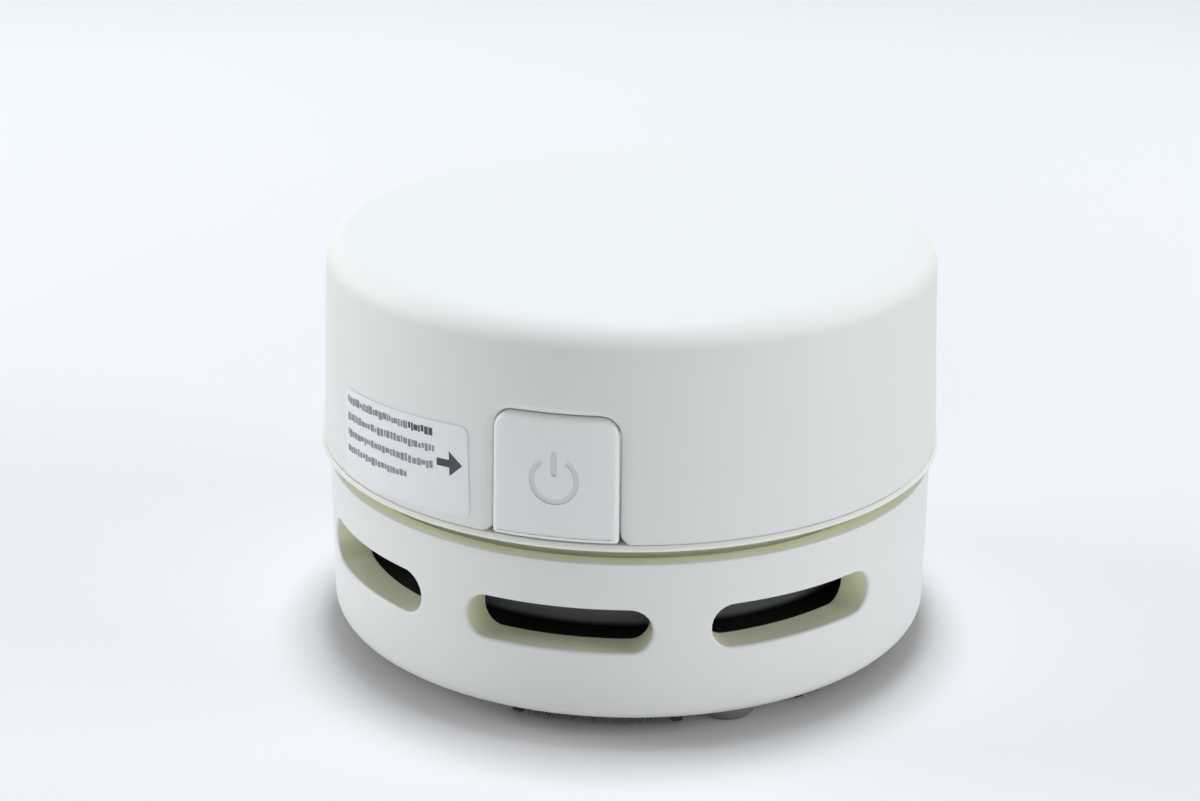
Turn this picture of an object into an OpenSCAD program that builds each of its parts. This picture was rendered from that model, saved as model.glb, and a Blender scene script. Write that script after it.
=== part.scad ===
// Round desktop vacuum cleaner: a drum-shaped body in two parts that stands on
// three feet, with a push button at the front (-Y) and exhaust slots around the
// dust cup. The origin is on the table, on the drum's own axis.

/* [Heights] */
// Gap between the table and the dust cup's lower edge
floor_gap = 2.6; // [2.4:0.1:3.2]
// Height of the dust cup's wall
cup_h = 22.4; // [22:0.1:24]
// Open groove between the dust cup's rim and the flange
groove_h = 2.05; // [1.5:0.05:2.4]
// Thickness of the flange's lip
flange_t = 0.8; // [0.7:0.05:1.2]
// Gap between the flange and the cover
cover_gap = 0.15; // [0.1:0.05:0.4]
// Height of the cover
cover_h = 28.5; // [28:0.1:32]

/* [Cover] */
// Radius of the cover at its lower edge
cover_r = 42.4; // [42.2:0.1:44]
// How much narrower the cover is where its top rounding starts
cover_draft = 1; // [0.6:0.1:1.2]
// Radius of the rounding around the cover's top
cover_fillet = 4; // [3:0.5:6]
// Wall thickness of the cover
cover_wall = 2; // [1.6:0.1:2.2]
// How far the flange stands out past the cover
flange_lip = 0.4; // [0.1:0.1:0.6]
// Thickness of the ribs inside the cover
cover_rib_t = 1.2; // [1:0.1:1.6]

/* [Dust cup] */
// Radius of the dust cup at its rim
cup_r = 41.7; // [41.2:0.1:42.2]
// How much narrower the dust cup is at its lower edge
cup_draft = 0.15; // [0:0.05:0.4]
// Wall thickness of the dust cup
cup_wall = 2.2; // [2.2:0.1:2.4]
// Rounding of the dust cup's lower edge
cup_edge = 2.1; // [1:0.1:2.1]
// Number of exhaust slots in the front group, and in the group behind
slot_count = 3; // [1:1:3]
// Angle between neighbouring slots of a group
slot_pitch = 45; // [44:1:52]
// Height of the slots above the cup's lower edge
slot_rise = 9.9; // [9.6:0.1:10.4]
// Height of a slot
slot_h = 6; // [5:0.1:6.2]
// Angle between the centres of a slot's round ends
slot_angle = 26.2; // [20:0.2:28]
// Depth of the tunnel behind a slot, from the cup's outside
slot_depth = 4.6; // [4:0.1:4.8]
// Wall thickness of that tunnel
collar_t = 1.2; // [0.8:0.1:1.3]
// Number of bayonet lugs
lug_count = 3; // [2:1:4]
// Angle that a bayonet lug covers
lug_angle = 18; // [12:1:20]
// Angle that a bayonet ledge in the cup covers
ledge_angle = 24; // [18:1:26]
// Thickness of the lugs and ledges
lug_t = 1.6; // [1.2:0.1:1.8]

/* [Base plate] */
// How deep the base plate sits above the cup's lower edge
base_recess = 0.4; // [0.2:0.1:0.6]
// Thickness of the base plate
base_t = 2.2; // [2:0.1:2.4]
// Radius of the dust inlet
inlet_r = 12; // [10:0.5:13]
// Height of the inlet's chimney above the base plate
chimney_h = 2.2; // [1.5:0.1:3]
// Wall thickness of the chimney
chimney_t = 1.4; // [1:0.1:2]
// Height of the dust space under the filter's shelf
chamber_h = 4.2; // [4.1:0.1:4.6]
// Thickness of the shelf and of the ledge over the base plate
shelf_t = 1.2; // [1:0.1:1.5]
// Distance of the feet's and the base screws' centres from the base plate's edge
foot_inset = 4.3; // [4.1:0.1:4.7]
// Radius of a foot
foot_r = 3.5; // [3:0.1:4]

/* [Brushes] */
// Number of brush strips around the base plate
brush_count = 6; // [4:1:6]
// Angle that one strip covers
brush_angle = 32; // [26:1:34]
// How far the front strip's centre is turned from the button
brush_turn = 5; // [0:1:10]
// Distance of the strips' centre line from the base plate's edge
brush_inset = 2.7; // [2.6:0.1:3.2]
// Width of a strip
brush_w = 2.4; // [2:0.1:2.6]
// Thickness of a strip's backing
brush_back_t = 0.9; // [0.7:0.1:1]
// Rows of strands in a strip
brush_rows = 3; // [2:1:3]
// Strands in one row
brush_cols = 22; // [16:1:24]
// Radius of a strand
strand_r = 0.2; // [0.15:0.01:0.22]
// Gap between the strands' ends and the table
brush_clear = 0.3; // [0.2:0.1:0.6]

/* [Filter and fan] */
// Thickness of the rubber ring under the filter
seal_t = 0.6; // [0.4:0.1:0.8]
// Thickness of the filter's frame
frame_t = 1.3; // [1.2:0.1:1.6]
// Distance of the filter's mesh from the shelf's edge
filter_rim = 6.2; // [5:0.1:8]
// Thickness of the filter's mesh
mesh_t = 0.5; // [0.3:0.1:0.6]
// Gap between the fan's housing and the middle frame's neck
fan_case_gap = 2.2; // [2:0.1:2.6]
// Wall thickness of the fan's housing
fan_case_t = 1.6; // [1.2:0.1:1.8]
// Height of the housing's lower edge above the slots' lower edge
fan_case_rise = 0.3; // [0:0.1:0.6]
// Room between the fan and its housing
fan_room = 5.4; // [4.5:0.1:8]
// Height of the fan's blades
blade_h = 7; // [6:0.1:7.5]
// Number of blades
blade_count = 9; // [7:1:11]
// Angle between a blade and the fan's radius
blade_turn = 35; // [20:1:40]

/* [Middle frame] */
// Thickness of the middle frame's plate
plate_t = 1.6; // [1.5:0.1:2]
// Height of the neck that goes down into the dust cup
neck_h = 6.2; // [6:0.1:6.4]
// Wall thickness of the neck and of the ring inside the cover
ring_t = 1.5; // [1.2:0.1:1.6]
// Height of the ring inside the cover
spigot_h = 4.5; // [3:0.1:5]
// Thickness of the walls that carry the button and the switch
guide_t = 1.2; // [1:0.1:1.3]

/* [Button] */
// Width of the button
button_w = 16.2; // [15:0.1:17]
// Height of the button's top above the cover's lower edge
button_h = 16.2; // [15.5:0.1:16.5]
// Radius of the button's top corners
button_corner = 2.3; // [1.5:0.1:3]
// How far the button stands out past the cover
button_proud = 0.2; // [0:0.05:0.25]
// Thickness of the button's face
button_t = 1.7; // [1.4:0.1:2]
// Gap between the button and the cover
button_gap = 0.3; // [0.2:0.05:0.4]
// How far the button can be pressed in
button_travel = 1.8; // [1.5:0.1:2]
// Radius of the ring in the engraved power sign
sign_r = 3.15; // [2.5:0.05:3.5]
// Line width of the sign
sign_line = 0.6; // [0.4:0.1:0.8]
// Depth of the sign
sign_depth = 0.2; // [0.1:0.05:0.25]
// Wire thickness of the button's spring
button_wire = 0.5; // [0.4:0.05:0.55]
// Turns of the button's spring
button_turns = 3.5; // [2.5:0.5:3.5]

/* [Label] */
// Height of the label
label_h = 12.2; // [10:0.1:13]
// Angle that the label covers around the cover
label_angle = 34; // [30:1:38]
// Angle from the button's centre to the label's nearer edge
label_start = 15.6; // [15:0.2:20]
// Height of the label's lower edge above the cover's lower edge
label_rise = 0.9; // [0.5:0.1:3]
// Thickness of the label
label_t = 0.1; // [0.08:0.01:0.15]

/* [Batteries and contacts] */
// Radius of a battery cell, size AA
cell_r = 7.25; // [7:0.05:7.25]
// Length of a battery cell with its terminal
cell_l = 50.4; // [49.5:0.1:50.5]
// Length of a cell's raised terminal
cell_nub_h = 1.2; // [1:0.1:1.5]
// Radius of that terminal
cell_nub_r = 2.7; // [2.5:0.1:2.75]
// Length of a cell's spring
cell_spring_l = 3.8; // [3.6:0.1:4]
// Wire thickness of a cell's spring
cell_wire = 0.6; // [0.5:0.05:0.6]
// Turns of a cell's spring
cell_turns = 2; // [1.5:0.5:2]
// Thickness of the contact plates
contact_t = 0.4; // [0.3:0.05:0.5]
// Width and height of a contact plate
contact_w = 11; // [10:0.1:12]
// Thickness of the tray's floor
tray_floor_t = 1.5; // [1.2:0.1:1.6]
// Thickness of the tray's outer walls
tray_wall_t = 1.2; // [1:0.1:1.3]
// Thickness of the walls between the cells and the motor
divider_t = 0.7; // [0.6:0.05:0.8]

/* [Motor and switch] */
// Radius of the motor's can
motor_r = 10.05; // [9.5:0.05:10.1]
// Width of the can across its flats
motor_flat = 15.1; // [14.5:0.1:15.2]
// Room between the motor's end and the cover
motor_room = 1.2; // [0.8:0.1:2.2]
// Wall thickness of the can
can_t = 0.8; // [0.6:0.1:0.9]
// Height of the plastic end of the motor
end_t = 3.4; // [3:0.1:3.6]
// Radius of the motor's shaft
shaft_r = 1; // [0.75:0.05:1.15]
// Radius of the bearings
bush_r = 2; // [1.8:0.1:2.2]
// Radius of the collar around the lower bearing
motor_boss_r = 3.05; // [2.9:0.05:3.2]
// Width and height of the switch
switch_w = 8; // [7:0.1:8.2]
// Length of the switch
switch_l = 9; // [8:0.1:9.2]
// Radius of the switch's plunger
plunger_r = 1.5; // [1.2:0.1:1.6]
// Thickness of a lead's insulation
lead_d = 1.1; // [0.9:0.05:1.2]

/* [Screws] */
// Radius of a screw's thread
screw_r = 1.1; // [0.9:0.05:1.2]
// Radius of a screw's head
head_r = 2; // [1.8:0.1:2.1]
// Height of a screw's head
head_h = 1.2; // [1:0.1:1.3]
// Radius of the motor screws' thread
motor_screw_r = 0.8; // [0.6:0.05:0.9]

/* [Clearances] */
// Gap around a piece that is put in by hand
loose = 0.3; // [0.2:0.05:0.35]
// Gap of a piece that turns or slides on another
running = 0.03; // [0.02:0.01:0.05]
// Gap of a piece that is pressed on
tight = 0.01; // [0.01:0.005:0.02]
// Gap between pieces that only touch
touch = 0.05; // [0.03:0.01:0.08]

/* [Hidden] */

$fn = 64;
eps = 0.01; // overlap that joins two shapes
big = 100; // longer than anything in the cleaner

// Heights, from the table up
cup_z = floor_gap;
cup_top = cup_z + cup_h;
base_z = cup_z + base_recess;
base_top = base_z + base_t;
shelf_top = base_top + chamber_h;
frame_z = shelf_top + seal_t;
slot_z = cup_z + slot_rise;
slot_mid = slot_z + slot_h / 2;
fan_case_z = slot_z + fan_case_rise;
plate_z = cup_top + groove_h;
plate_top = plate_z + plate_t;
flange_top = plate_z + flange_t;
cover_z = flange_top + cover_gap;
cover_top = cover_z + cover_h;
cover_in_top = cover_top - cover_wall;
neck_z = plate_z - neck_h;

// Radii at a height
function cover_out(z) = cover_r - cover_draft * (z - cover_z) / (cover_h - cover_fillet);
function cover_in(z) = cover_out(z) - cover_wall;
function cup_out(z) = cup_r - cup_draft * (cup_top - z) / cup_h;
function cup_in(z) = cup_out(z) - cup_wall;
function arc(cx, cy, r, from, to, steps) =
    [for (i = [0:steps]) let (a = from + (to - from) * i / steps) [cx + r * cos(a), cy + r * sin(a)]];

flange_r = cover_r + flange_lip;
spigot_r = cover_in(plate_top + spigot_h) - loose;
lug_gap = 0.4; // around the neck and its lugs
lug_reach = 1.3; // of a lug past the neck
lug_r = cup_in(neck_z) - lug_gap;
neck_r = lug_r - lug_reach;
neck_in = neck_r - ring_t;
ledge_in = neck_r + lug_gap;
ledge_z = neck_z + lug_t + loose;
collar_in = cup_r - slot_depth;
base_r = cup_in(cup_z) - loose;
foot_ring_r = base_r - foot_inset;
brush_r = base_r - brush_inset;
shelf_reach = 2.7; // of the shelf inside the base plate's edge
shelf_in = base_r - shelf_reach;
frame_r = shelf_in + 1;
filter_open_r = shelf_in - filter_rim;
plate_edge = 0.3; // bevel of the plate's and the cup's edges
ledge_w = 1.4; // ledge that the base plate lies against
peg_r = 1.5; // peg on top of a foot
foot_bevel = 0.4;
base_boss_r = head_r + 0.5;
head_gap = 0.1; // over a sunk screw head
base_screw_l = chamber_h - 0.4;
base_turns = 3; // feet, and screws between them
foot_start = brush_turn + 30;
base_screw_start = brush_turn + 90;
lug_start = 60;

// Fan
fan_case_r = neck_in - fan_case_gap;
fan_r = fan_case_r - fan_case_t - fan_room;
fan_top_t = 1.5; // top of the fan's housing
fan_gap = 2.2; // free height over the fan
fan_back_t = 1.2;
hub_r = 4;
fan_back_top = plate_z - fan_top_t - fan_gap;
fan_back_z = fan_back_top - fan_back_t;
blade_z = fan_back_z - blade_h;
blade_in = 2 * hub_r;
blade_t = 1.2;
case_boss_r = 2.5;
case_screw_ring = neck_in - loose - case_boss_r;
case_boss_h = 5.6;
case_screw_l = 6.5;
case_screw_turns = [90, 180, 270];

// Motor
motor_z = plate_top;
end_boss_r = 4;
end_boss_h = 1.4;
motor_l = cover_in_top - motor_room - end_boss_h - end_t - motor_z;
can_top = motor_z + motor_l;
end_top = can_top + end_t;
motor_boss_h = plate_t - loose;
flat_in = motor_flat / 2 - can_t;
bush_h = 2.4;
end_bush_z = end_top + end_boss_h - 0.6 - bush_h;
shaft_top = end_bush_z + bush_h + loose;
armature_r = flat_in - 0.5;
armature_lift = 3.6; // over the can's floor
armature_z = motor_z + armature_lift;
armature_h = motor_l - 2 * armature_lift - 0.7;
magnet_out = motor_r - can_t - touch;
magnet_t = magnet_out - armature_r - 0.5;
commutator_r = 2.3;
commutator_z = armature_z + armature_h + 0.6;
commutator_h = 2.8;
motor_screw_y = motor_r - can_t - 1.9;
motor_head_r = 1.6;
motor_head_h = 1;
terminal_x = 4.6; // half the distance between the motor's terminals
terminal_w = 2;
terminal_t = 0.4;
terminal_z = can_top + 1; // underside of the terminals' slots
terminal_out = motor_r + 1.6;
terminal_in = motor_r - 4.85;
brush_room_r = 5; // hollow of the motor's end

// Cells
floor_top = plate_top + tray_floor_t;
cell_z = floor_top + touch + cell_r;
divider_x = motor_flat / 2 + 0.4;
cell_x = divider_x + divider_t + 0.1 + cell_r;
tray_x = cell_x + cell_r + loose + tray_wall_t;
contact_nub = 0.3;
bay_half = (cell_l + contact_nub + cell_spring_l + 2 * contact_t + 2 * touch) / 2;
tray_y = bay_half + tray_wall_t;
plate_y = bay_half - contact_t;
nub_y = plate_y - contact_nub - touch;
end_wall_top = cell_z + 4.7;
side_wall_top = cell_z - 3.5;
divider_top = cell_z - 2;
strip_z = divider_top + 0.6;
strip_h = 3.7;
tray_screw_y = [-(motor_r + 4.6), motor_r + 9];
tray_middle_y = tray_screw_y[0] - 4;

// Button and switch
button_z = cover_z;
button_top = button_z + button_h;
button_out = cover_r + button_proud;
button_in = button_out - button_t;
wall_in = cover_in(button_top) - 1.6; // inner end of the button's side walls
wing_out = cover_in(button_top) - 0.4;
wing_w = 1.5;
wing_gap = 0.8;
wing_z = plate_top + 0.5;
button_side_t = 1.2;
stem_z = (button_z + button_top) / 2;
stem_w = 4;
guide_y = wall_in - button_travel - 0.8; // front face of the guide wall
guide_w = button_w - 2 * button_side_t - 1.4;
guide_top = stem_z + stem_w / 2 + 4;
stem_end = guide_y - guide_t - 0.9;
switch_face = stem_end - button_travel - 1;
switch_back = switch_face - switch_l;
plunger_in = 4;
pin_x = 2.5; // half the distance between the switch's pins
pin_w = 1;
pin_t = 0.5;
pin_h = 1.8;
cheek_gap = 0.1; // between the switch and its seat's cheeks
spring_r = stem_w * 0.71 + button_wire / 2 + 0.2;
spring_from = guide_y + touch;
spring_to = button_in - 0.2;
tongue_w = 6;
tongue_t = 1;
tongue_top = button_top + 4;
nose_h = 1;
lug_out_y = cover_in(tongue_top) - 0.6;
nose_y = lug_out_y - 0.2;
cover_lug_h = 1.4;

// Turns a piece from the front (-Y) to an angle counted towards +X
module turned(a) {
    rotate([0, 0, a]) children();
}

// A copy on each of n equal turns, the first one turned by start
module around(n, start = 0) {
    for (i = [0:n - 1]) turned(start + i * 360 / n) children();
}

// A ring's segment that is centred on the front and covers an angle
module segment(r_in, r_out, z, h, angle) {
    rotate([0, 0, -90 - angle / 2])
        rotate_extrude(angle = angle)
            translate([r_in, z]) square([r_out - r_in, h]);
}

// A block between two corners
module block(low, high) {
    translate(low) cube(high - low);
}

// A round bar along -Y, from one distance from the axis to a larger one
module bar(x, z, y_in, y_out, r) {
    translate([x, -y_in, z]) rotate([90, 0, 0]) cylinder(h = y_out - y_in, r = r);
}

// One unbroken tube of sides sides through the centres of its rings
module tube(points, sides, r) {
    n = len(points);
    function unit(v) = v / norm(v);
    function heading(i) = unit(points[min(i + 1, n - 1)] - points[max(i - 1, 0)]);
    function side(i) =
        let (t = heading(i), s = cross(t, abs(t[2]) > 0.8 ? [1, 0, 0] : [0, 0, 1])) unit(s);
    function ring(i) =
        let (s = side(i), u = cross(heading(i), s))
        [for (k = [0:sides - 1]) points[i] + r * (cos(k * 360 / sides) * s + sin(k * 360 / sides) * u)];
    polyhedron(
        points = [for (i = [0:n - 1]) each ring(i)],
        faces = concat(
            [for (k = [1:sides - 2]) [0, k, k + 1]],
            [for (i = [0:n - 2], k = [0:sides - 1])
                let (a = i * sides + k, b = i * sides + (k + 1) % sides) [a, a + sides, b]],
            [for (i = [0:n - 2], k = [0:sides - 1])
                let (a = i * sides + k, b = i * sides + (k + 1) % sides) [b, a + sides, b + sides]],
            [for (k = [1:sides - 2]) let (o = (n - 1) * sides) [o, o + k + 1, o + k]]
        )
    );
}

// Rings of a coil that rises along +Z from radius r1 to r2, with straight ends
coil_steps = 8; // rings in one turn
function coil(r1, r2, length, wire, turns) =
    let (n = turns * coil_steps, rise = length - 2 * wire)
    concat(
        [[r1, 0, 0]],
        [for (i = [0:n])
            let (a = 360 * i / coil_steps, r = r1 + (r2 - r1) * i / n)
            [r * cos(a), r * sin(a), wire + rise * i / n]],
        [[r2 * cos(360 * turns), r2 * sin(360 * turns), length]]
    );

// Least gap between two turns of a coil, measured on its rings
function coil_gap(points, wire) =
    min([for (i = [1:len(points) - 2], j = [1:len(points) - 2])
        if (j - i > coil_steps / 2) norm(points[i] - points[j]) - wire]);

// Points of a soft curve through a lead's hand-set points
function lead_curve(p, steps) =
    [for (i = [0:len(p) - 2], k = [0:steps - 1])
        let (
            t = k / steps,
            a = p[max(i - 1, 0)], b = p[i], c = p[i + 1], d = p[min(i + 2, len(p) - 1)]
        )
        0.5 * (2 * b + (c - a) * t + (2 * a - 5 * b + 4 * c - d) * t * t
            + (3 * b - a - 3 * c + d) * t * t * t)];

// A screw that points down, with its head's underside at z = 0
module screw(length, r, r_head, h_head) {
    difference() {
        cylinder(h = h_head, r = r_head);
        for (a = [0, 90])
            rotate([0, 0, a])
                translate([-0.65 * r_head, -0.15 * r_head, 0.45 * h_head])
                    cube([1.3 * r_head, 0.3 * r_head, h_head]);
    }
    translate([0, 0, -length]) cylinder(h = length + eps, r = r);
}

// ---- Cover ----

module cover_profile(inset) {
    f = cover_fillet - inset;
    top_r = cover_r - cover_draft - cover_fillet;
    polygon(concat(
        [[0, cover_z - (inset > 0 ? 1 : 0)], [cover_r - inset, cover_z - (inset > 0 ? 1 : 0)],
            [cover_r - inset, cover_z]],
        arc(top_r, cover_top - cover_fillet, f, 0, 90, 8),
        [[0, cover_top - inset]]
    ));
}

module button_outline(grow, low) {
    w = button_w + 2 * grow;
    c = button_corner + grow;
    top = button_top + grow;
    translate([-w / 2, low]) square([w, top - c - low]);
    translate([c - w / 2, low]) square([w - 2 * c, top - low]);
    for (s = [-1, 1]) translate([s * (w / 2 - c), top - c]) circle(r = c);
}

// The button's outline as a bar along -Y
module button_bar(grow, low, y_in, y_out) {
    translate([0, -y_in, 0]) rotate([90, 0, 0])
        linear_extrude(height = y_out - y_in) button_outline(grow, low);
}

module top_cover() {
    color("white") {
        difference() {
            rotate_extrude() cover_profile(0);
            rotate_extrude() cover_profile(cover_wall);
            button_bar(button_gap, cover_z - 1, wall_in - 2, cover_r + 2);
        }
        // ribs that hold the cells down
        for (s = [-1, 1])
            block([s * cell_x - cover_rib_t / 2, -14, cell_z + cell_r + 0.5],
                [s * cell_x + cover_rib_t / 2, 14, cover_in_top + eps]);
        // ribs that slide into the middle frame's ring, so that the cover can't turn
        for (s = [-1, 1]) turned(s * 90)
            block([-cover_rib_t / 2, -(cover_in(cover_z) + 0.1), plate_top + 0.5],
                [cover_rib_t / 2, loose - spigot_r + ring_t, plate_top + spigot_h + 1]);
        // lug that the button's tongue locks over
        block([-tongue_w / 2, -(cover_in(cover_z) - 0.1), tongue_top - nose_h - loose - cover_lug_h],
            [tongue_w / 2, -lug_out_y, tongue_top - nose_h - loose]);
    }
}

module cover_label() {
    z1 = cover_z + label_rise;
    z2 = z1 + label_h;
    color("ghostwhite")
        turned(-(label_start + label_angle / 2))
            rotate([0, 0, -90 - label_angle / 2])
                rotate_extrude(angle = label_angle)
                    polygon([
                        [cover_out(z1) + touch, z1], [cover_out(z1) + touch + label_t, z1],
                        [cover_out(z2) + touch + label_t, z2], [cover_out(z2) + touch, z2]
                    ]);
}

// ---- Button and switch ----

module power_button() {
    color("white") {
        difference() {
            union() {
                // face
                intersection() {
                    button_bar(0, button_z, 0, button_out + 1);
                    segment(button_in, button_out, button_z, button_h + 1, 40);
                }
                // side and top walls
                intersection() {
                    difference() {
                        button_bar(0, wing_z, 0, button_out);
                        button_bar(-button_side_t, wing_z - 1, -1, button_out + 1);
                    }
                    segment(wall_in, button_in + eps, wing_z, button_h, 40);
                }
            }
            power_sign();
        }
        // wings behind the cover's wall
        intersection() {
            segment(wall_in, wing_out, wing_z, button_top - wing_z - button_corner, 40);
            difference() {
                block([-button_w / 2 - wing_w, -big, 0], [button_w / 2 + wing_w, 0, big]);
                block([-button_w / 2 + 1, -big, -1], [button_w / 2 - 1, 1, big + 1]);
            }
        }
        // stem that presses the switch
        block([-stem_w / 2, -(button_in + 0.5), stem_z - stem_w / 2],
            [stem_w / 2, -stem_end, stem_z + stem_w / 2]);
        // tongue and nose that lock the cover
        block([-tongue_w / 2, tongue_t - nose_y, button_top - button_side_t],
            [tongue_w / 2, 2 * tongue_t - nose_y, tongue_top]);
        block([-tongue_w / 2, -(wall_in + 1.5), button_top - button_side_t],
            [tongue_w / 2, 2 * tongue_t - nose_y, button_top]);
        block([-tongue_w / 2, -nose_y, tongue_top - nose_h],
            [tongue_w / 2, tongue_t - nose_y + eps, tongue_top]);
    }
}

// The generic power sign: an open ring and a stroke, cut into the button's face
module power_sign() {
    cut_y = button_out - sign_depth;
    gap_a = 34; // half the ring's opening
    intersection() {
        difference() {
            bar(0, stem_z, cut_y, button_out + 1, sign_r);
            bar(0, stem_z, cut_y - 1, button_out + 2, sign_r - sign_line);
        }
        translate([0, -cut_y + 1, stem_z]) rotate([90, 0, 0])
            linear_extrude(height = 4)
                polygon([
                    [0, 0], [-5 * sin(gap_a), 5 * cos(gap_a)], [-6, 0], [-6, -6],
                    [6, -6], [6, 0], [5 * sin(gap_a), 5 * cos(gap_a)]
                ]);
    }
    block([-sign_line / 2, -button_out - 1, stem_z + 0.5],
        [sign_line / 2, -cut_y, stem_z + sign_r + 0.6]);
}

button_coil = coil(spring_r, spring_r, spring_to - spring_from, button_wire, button_turns);
echo(button_spring_gap = coil_gap(button_coil, button_wire));

module button_spring() {
    color("silver")
        translate([0, -spring_from, stem_z]) rotate([90, 0, 0])
            tube(button_coil, 6, button_wire / 2);
}

module switch_case() {
    h = switch_w / 2;
    color("royalblue")
        difference() {
            block([-h, -switch_face, stem_z - h], [h, -switch_back, stem_z + h]);
            bar(0, stem_z, switch_face - plunger_in - button_travel - 0.4, switch_face + 1,
                plunger_r + running);
        }
    // solder pins on top
    color("silver")
        for (s = [-1, 1])
            block([s * pin_x - pin_w / 2, pin_y, stem_z + h - eps],
                [s * pin_x + pin_w / 2, pin_y + pin_t, stem_z + h + pin_h]);
}

module switch_plunger() {
    color("white")
        bar(0, stem_z, switch_face - plunger_in, stem_end - touch, plunger_r);
}

// ---- Middle frame ----

module middle_frame() {
    h = switch_w / 2;
    color("whitesmoke")
        difference() {
            union() {
                rotate_extrude()
                    polygon([
                        [0, plate_z], [neck_in, plate_z], [neck_in, neck_z], [neck_r, neck_z],
                        [neck_r, plate_z], [flange_r - plate_edge, plate_z],
                        [flange_r, plate_z + plate_edge], [flange_r, flange_top - plate_edge],
                        [flange_r - plate_edge, flange_top],
                        [spigot_r, flange_top], [spigot_r, plate_top + spigot_h],
                        [spigot_r - ring_t, plate_top + spigot_h], [spigot_r - ring_t, plate_top],
                        [0, plate_top]
                    ]);
                // bayonet lugs
                around(lug_count, lug_start)
                    segment(neck_r - 0.2, lug_r, neck_z, lug_t, lug_angle);
            }
            // room for the button, and slots for the cover's ribs
            block([-button_w / 2 - wing_w - wing_gap, -spigot_r - 1, plate_top],
                [button_w / 2 + wing_w + wing_gap, -guide_y, plate_top + spigot_h + 1]);
            block([-button_w / 2 - 2 * button_gap, -spigot_r - 1, flange_top],
                [button_w / 2 + 2 * button_gap, button_travel + 1 - button_in, plate_top + 1]);
            for (s = [-1, 1]) turned(s * 90)
                block([-cover_rib_t / 2 - loose, -spigot_r - 1, plate_top],
                    [cover_rib_t / 2 + loose, ring_t + 1 - spigot_r, plate_top + spigot_h + 1]);
            translate([0, 0, plate_z - 1])
                cylinder(h = plate_t + 2, r = motor_boss_r + touch);
            for (a = case_screw_turns) turned(a)
                translate([0, -case_screw_ring, plate_z - 1])
                    cylinder(h = plate_t + 2, r = screw_r + touch);
            for (y = tray_screw_y)
                translate([0, y, plate_z - 1]) cylinder(h = plate_t + 2, r = screw_r + touch);
            for (s = [-1, 1])
                translate([0, s * motor_screw_y, plate_z - 1])
                    cylinder(h = plate_t + 2, r = motor_screw_r + touch);
        }
    color("whitesmoke") {
        // guide wall with the stem's window
        difference() {
            block([-guide_w / 2, -guide_y, plate_top - eps],
                [guide_w / 2, guide_t - guide_y, guide_top]);
            block([-stem_w / 2 - loose, -guide_y - 1, stem_z - stem_w / 2 - loose],
                [stem_w / 2 + loose, guide_t + 1 - guide_y, stem_z + stem_w / 2 + loose]);
        }
        // seat of the switch: two ribs, two cheeks and a back
        for (s = [-1, 1]) {
            translate([s * (h - 1 - guide_t / 2), 0, 0])
                block([-guide_t / 2, -switch_face, plate_top - eps],
                    [guide_t / 2, -switch_back - touch, stem_z - h - touch]);
            translate([s * (h + cheek_gap + guide_t / 2), 0, 0])
                block([-guide_t / 2, -switch_face + 2, plate_top - eps],
                    [guide_t / 2, -switch_back - 2, stem_z]);
        }
        block([-h - cheek_gap - guide_t, -switch_back + touch, plate_top - eps],
            [h + cheek_gap + guide_t, guide_t - switch_back + touch, stem_z + h - 1]);
    }
}

// ---- Batteries ----

module battery_tray() {
    color("whitesmoke")
        difference() {
            union() {
                for (s = [-1, 1]) mirror([s < 0 ? 1 : 0, 0, 0]) {
                    block([divider_x, -tray_y, plate_top], [tray_x, tray_y, floor_top]);
                    block([tray_x - tray_wall_t, -tray_y, plate_top], [tray_x, tray_y, side_wall_top]);
                    block([divider_x, -tray_y, plate_top],
                        [divider_x + divider_t, tray_y, divider_top]);
                    for (y = [-tray_y, bay_half])
                        block([divider_x, y, plate_top], [tray_x, y + tray_wall_t, end_wall_top]);
                }
                block([-divider_x - eps, tray_middle_y, plate_top],
                    [divider_x + eps, tray_y, floor_top]);
            }
            translate([0, 0, plate_top - 1]) motor_prism(motor_r + loose, motor_flat / 2 + loose,
                tray_floor_t + 2);
            for (y = tray_screw_y)
                translate([0, y, plate_top - 1])
                    cylinder(h = tray_floor_t + 2, r = screw_r + touch);
        }
}

// A cell along Y with its raised terminal towards -Y
module cell() {
    translate([0, -nub_y, 0]) rotate([-90, 0, 0]) {
        cylinder(h = cell_nub_h + eps, r = cell_nub_r);
        translate([0, 0, cell_nub_h]) cylinder(h = cell_l - cell_nub_h, r = cell_r);
    }
}

module battery_left() {
    color("dimgray") translate([-cell_x, 0, cell_z]) cell();
}

module battery_right() {
    color("dimgray") translate([cell_x, 0, cell_z]) rotate([0, 0, 180]) cell();
}

// A contact plate against the front wall of the bay at x
module contact_plate(x) {
    w = contact_w / 2;
    block([x - w, -bay_half, cell_z - w], [x + w, contact_t - bay_half, cell_z + w]);
}

// The small dome that meets a cell's raised terminal
module contact_dome(x) {
    bar(x, cell_z, plate_y - contact_nub, plate_y + eps, 2);
}

// The tab that a lead is soldered to, on the plate's side near the middle
module contact_tab(s) {
    x = s * (cell_x - contact_w / 2 + 1);
    block([x - 1, -bay_half, cell_z + contact_w / 2 - eps],
        [x + 1, contact_t - bay_half, cell_z + contact_w / 2 + 2.2]);
}

module contact_plus() {
    color("silver") {
        contact_plate(-cell_x);
        contact_dome(-cell_x);
        contact_tab(-1);
    }
}

module contact_minus() {
    color("silver") {
        contact_plate(cell_x);
        contact_tab(1);
    }
}

module contact_bridge() {
    color("silver")
        rotate([0, 0, 180]) {
            contact_plate(-cell_x);
            contact_plate(cell_x);
            contact_dome(-cell_x);
            block([-cell_x, -bay_half, strip_z], [cell_x, contact_t - bay_half, strip_z + strip_h]);
        }
}

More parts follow.
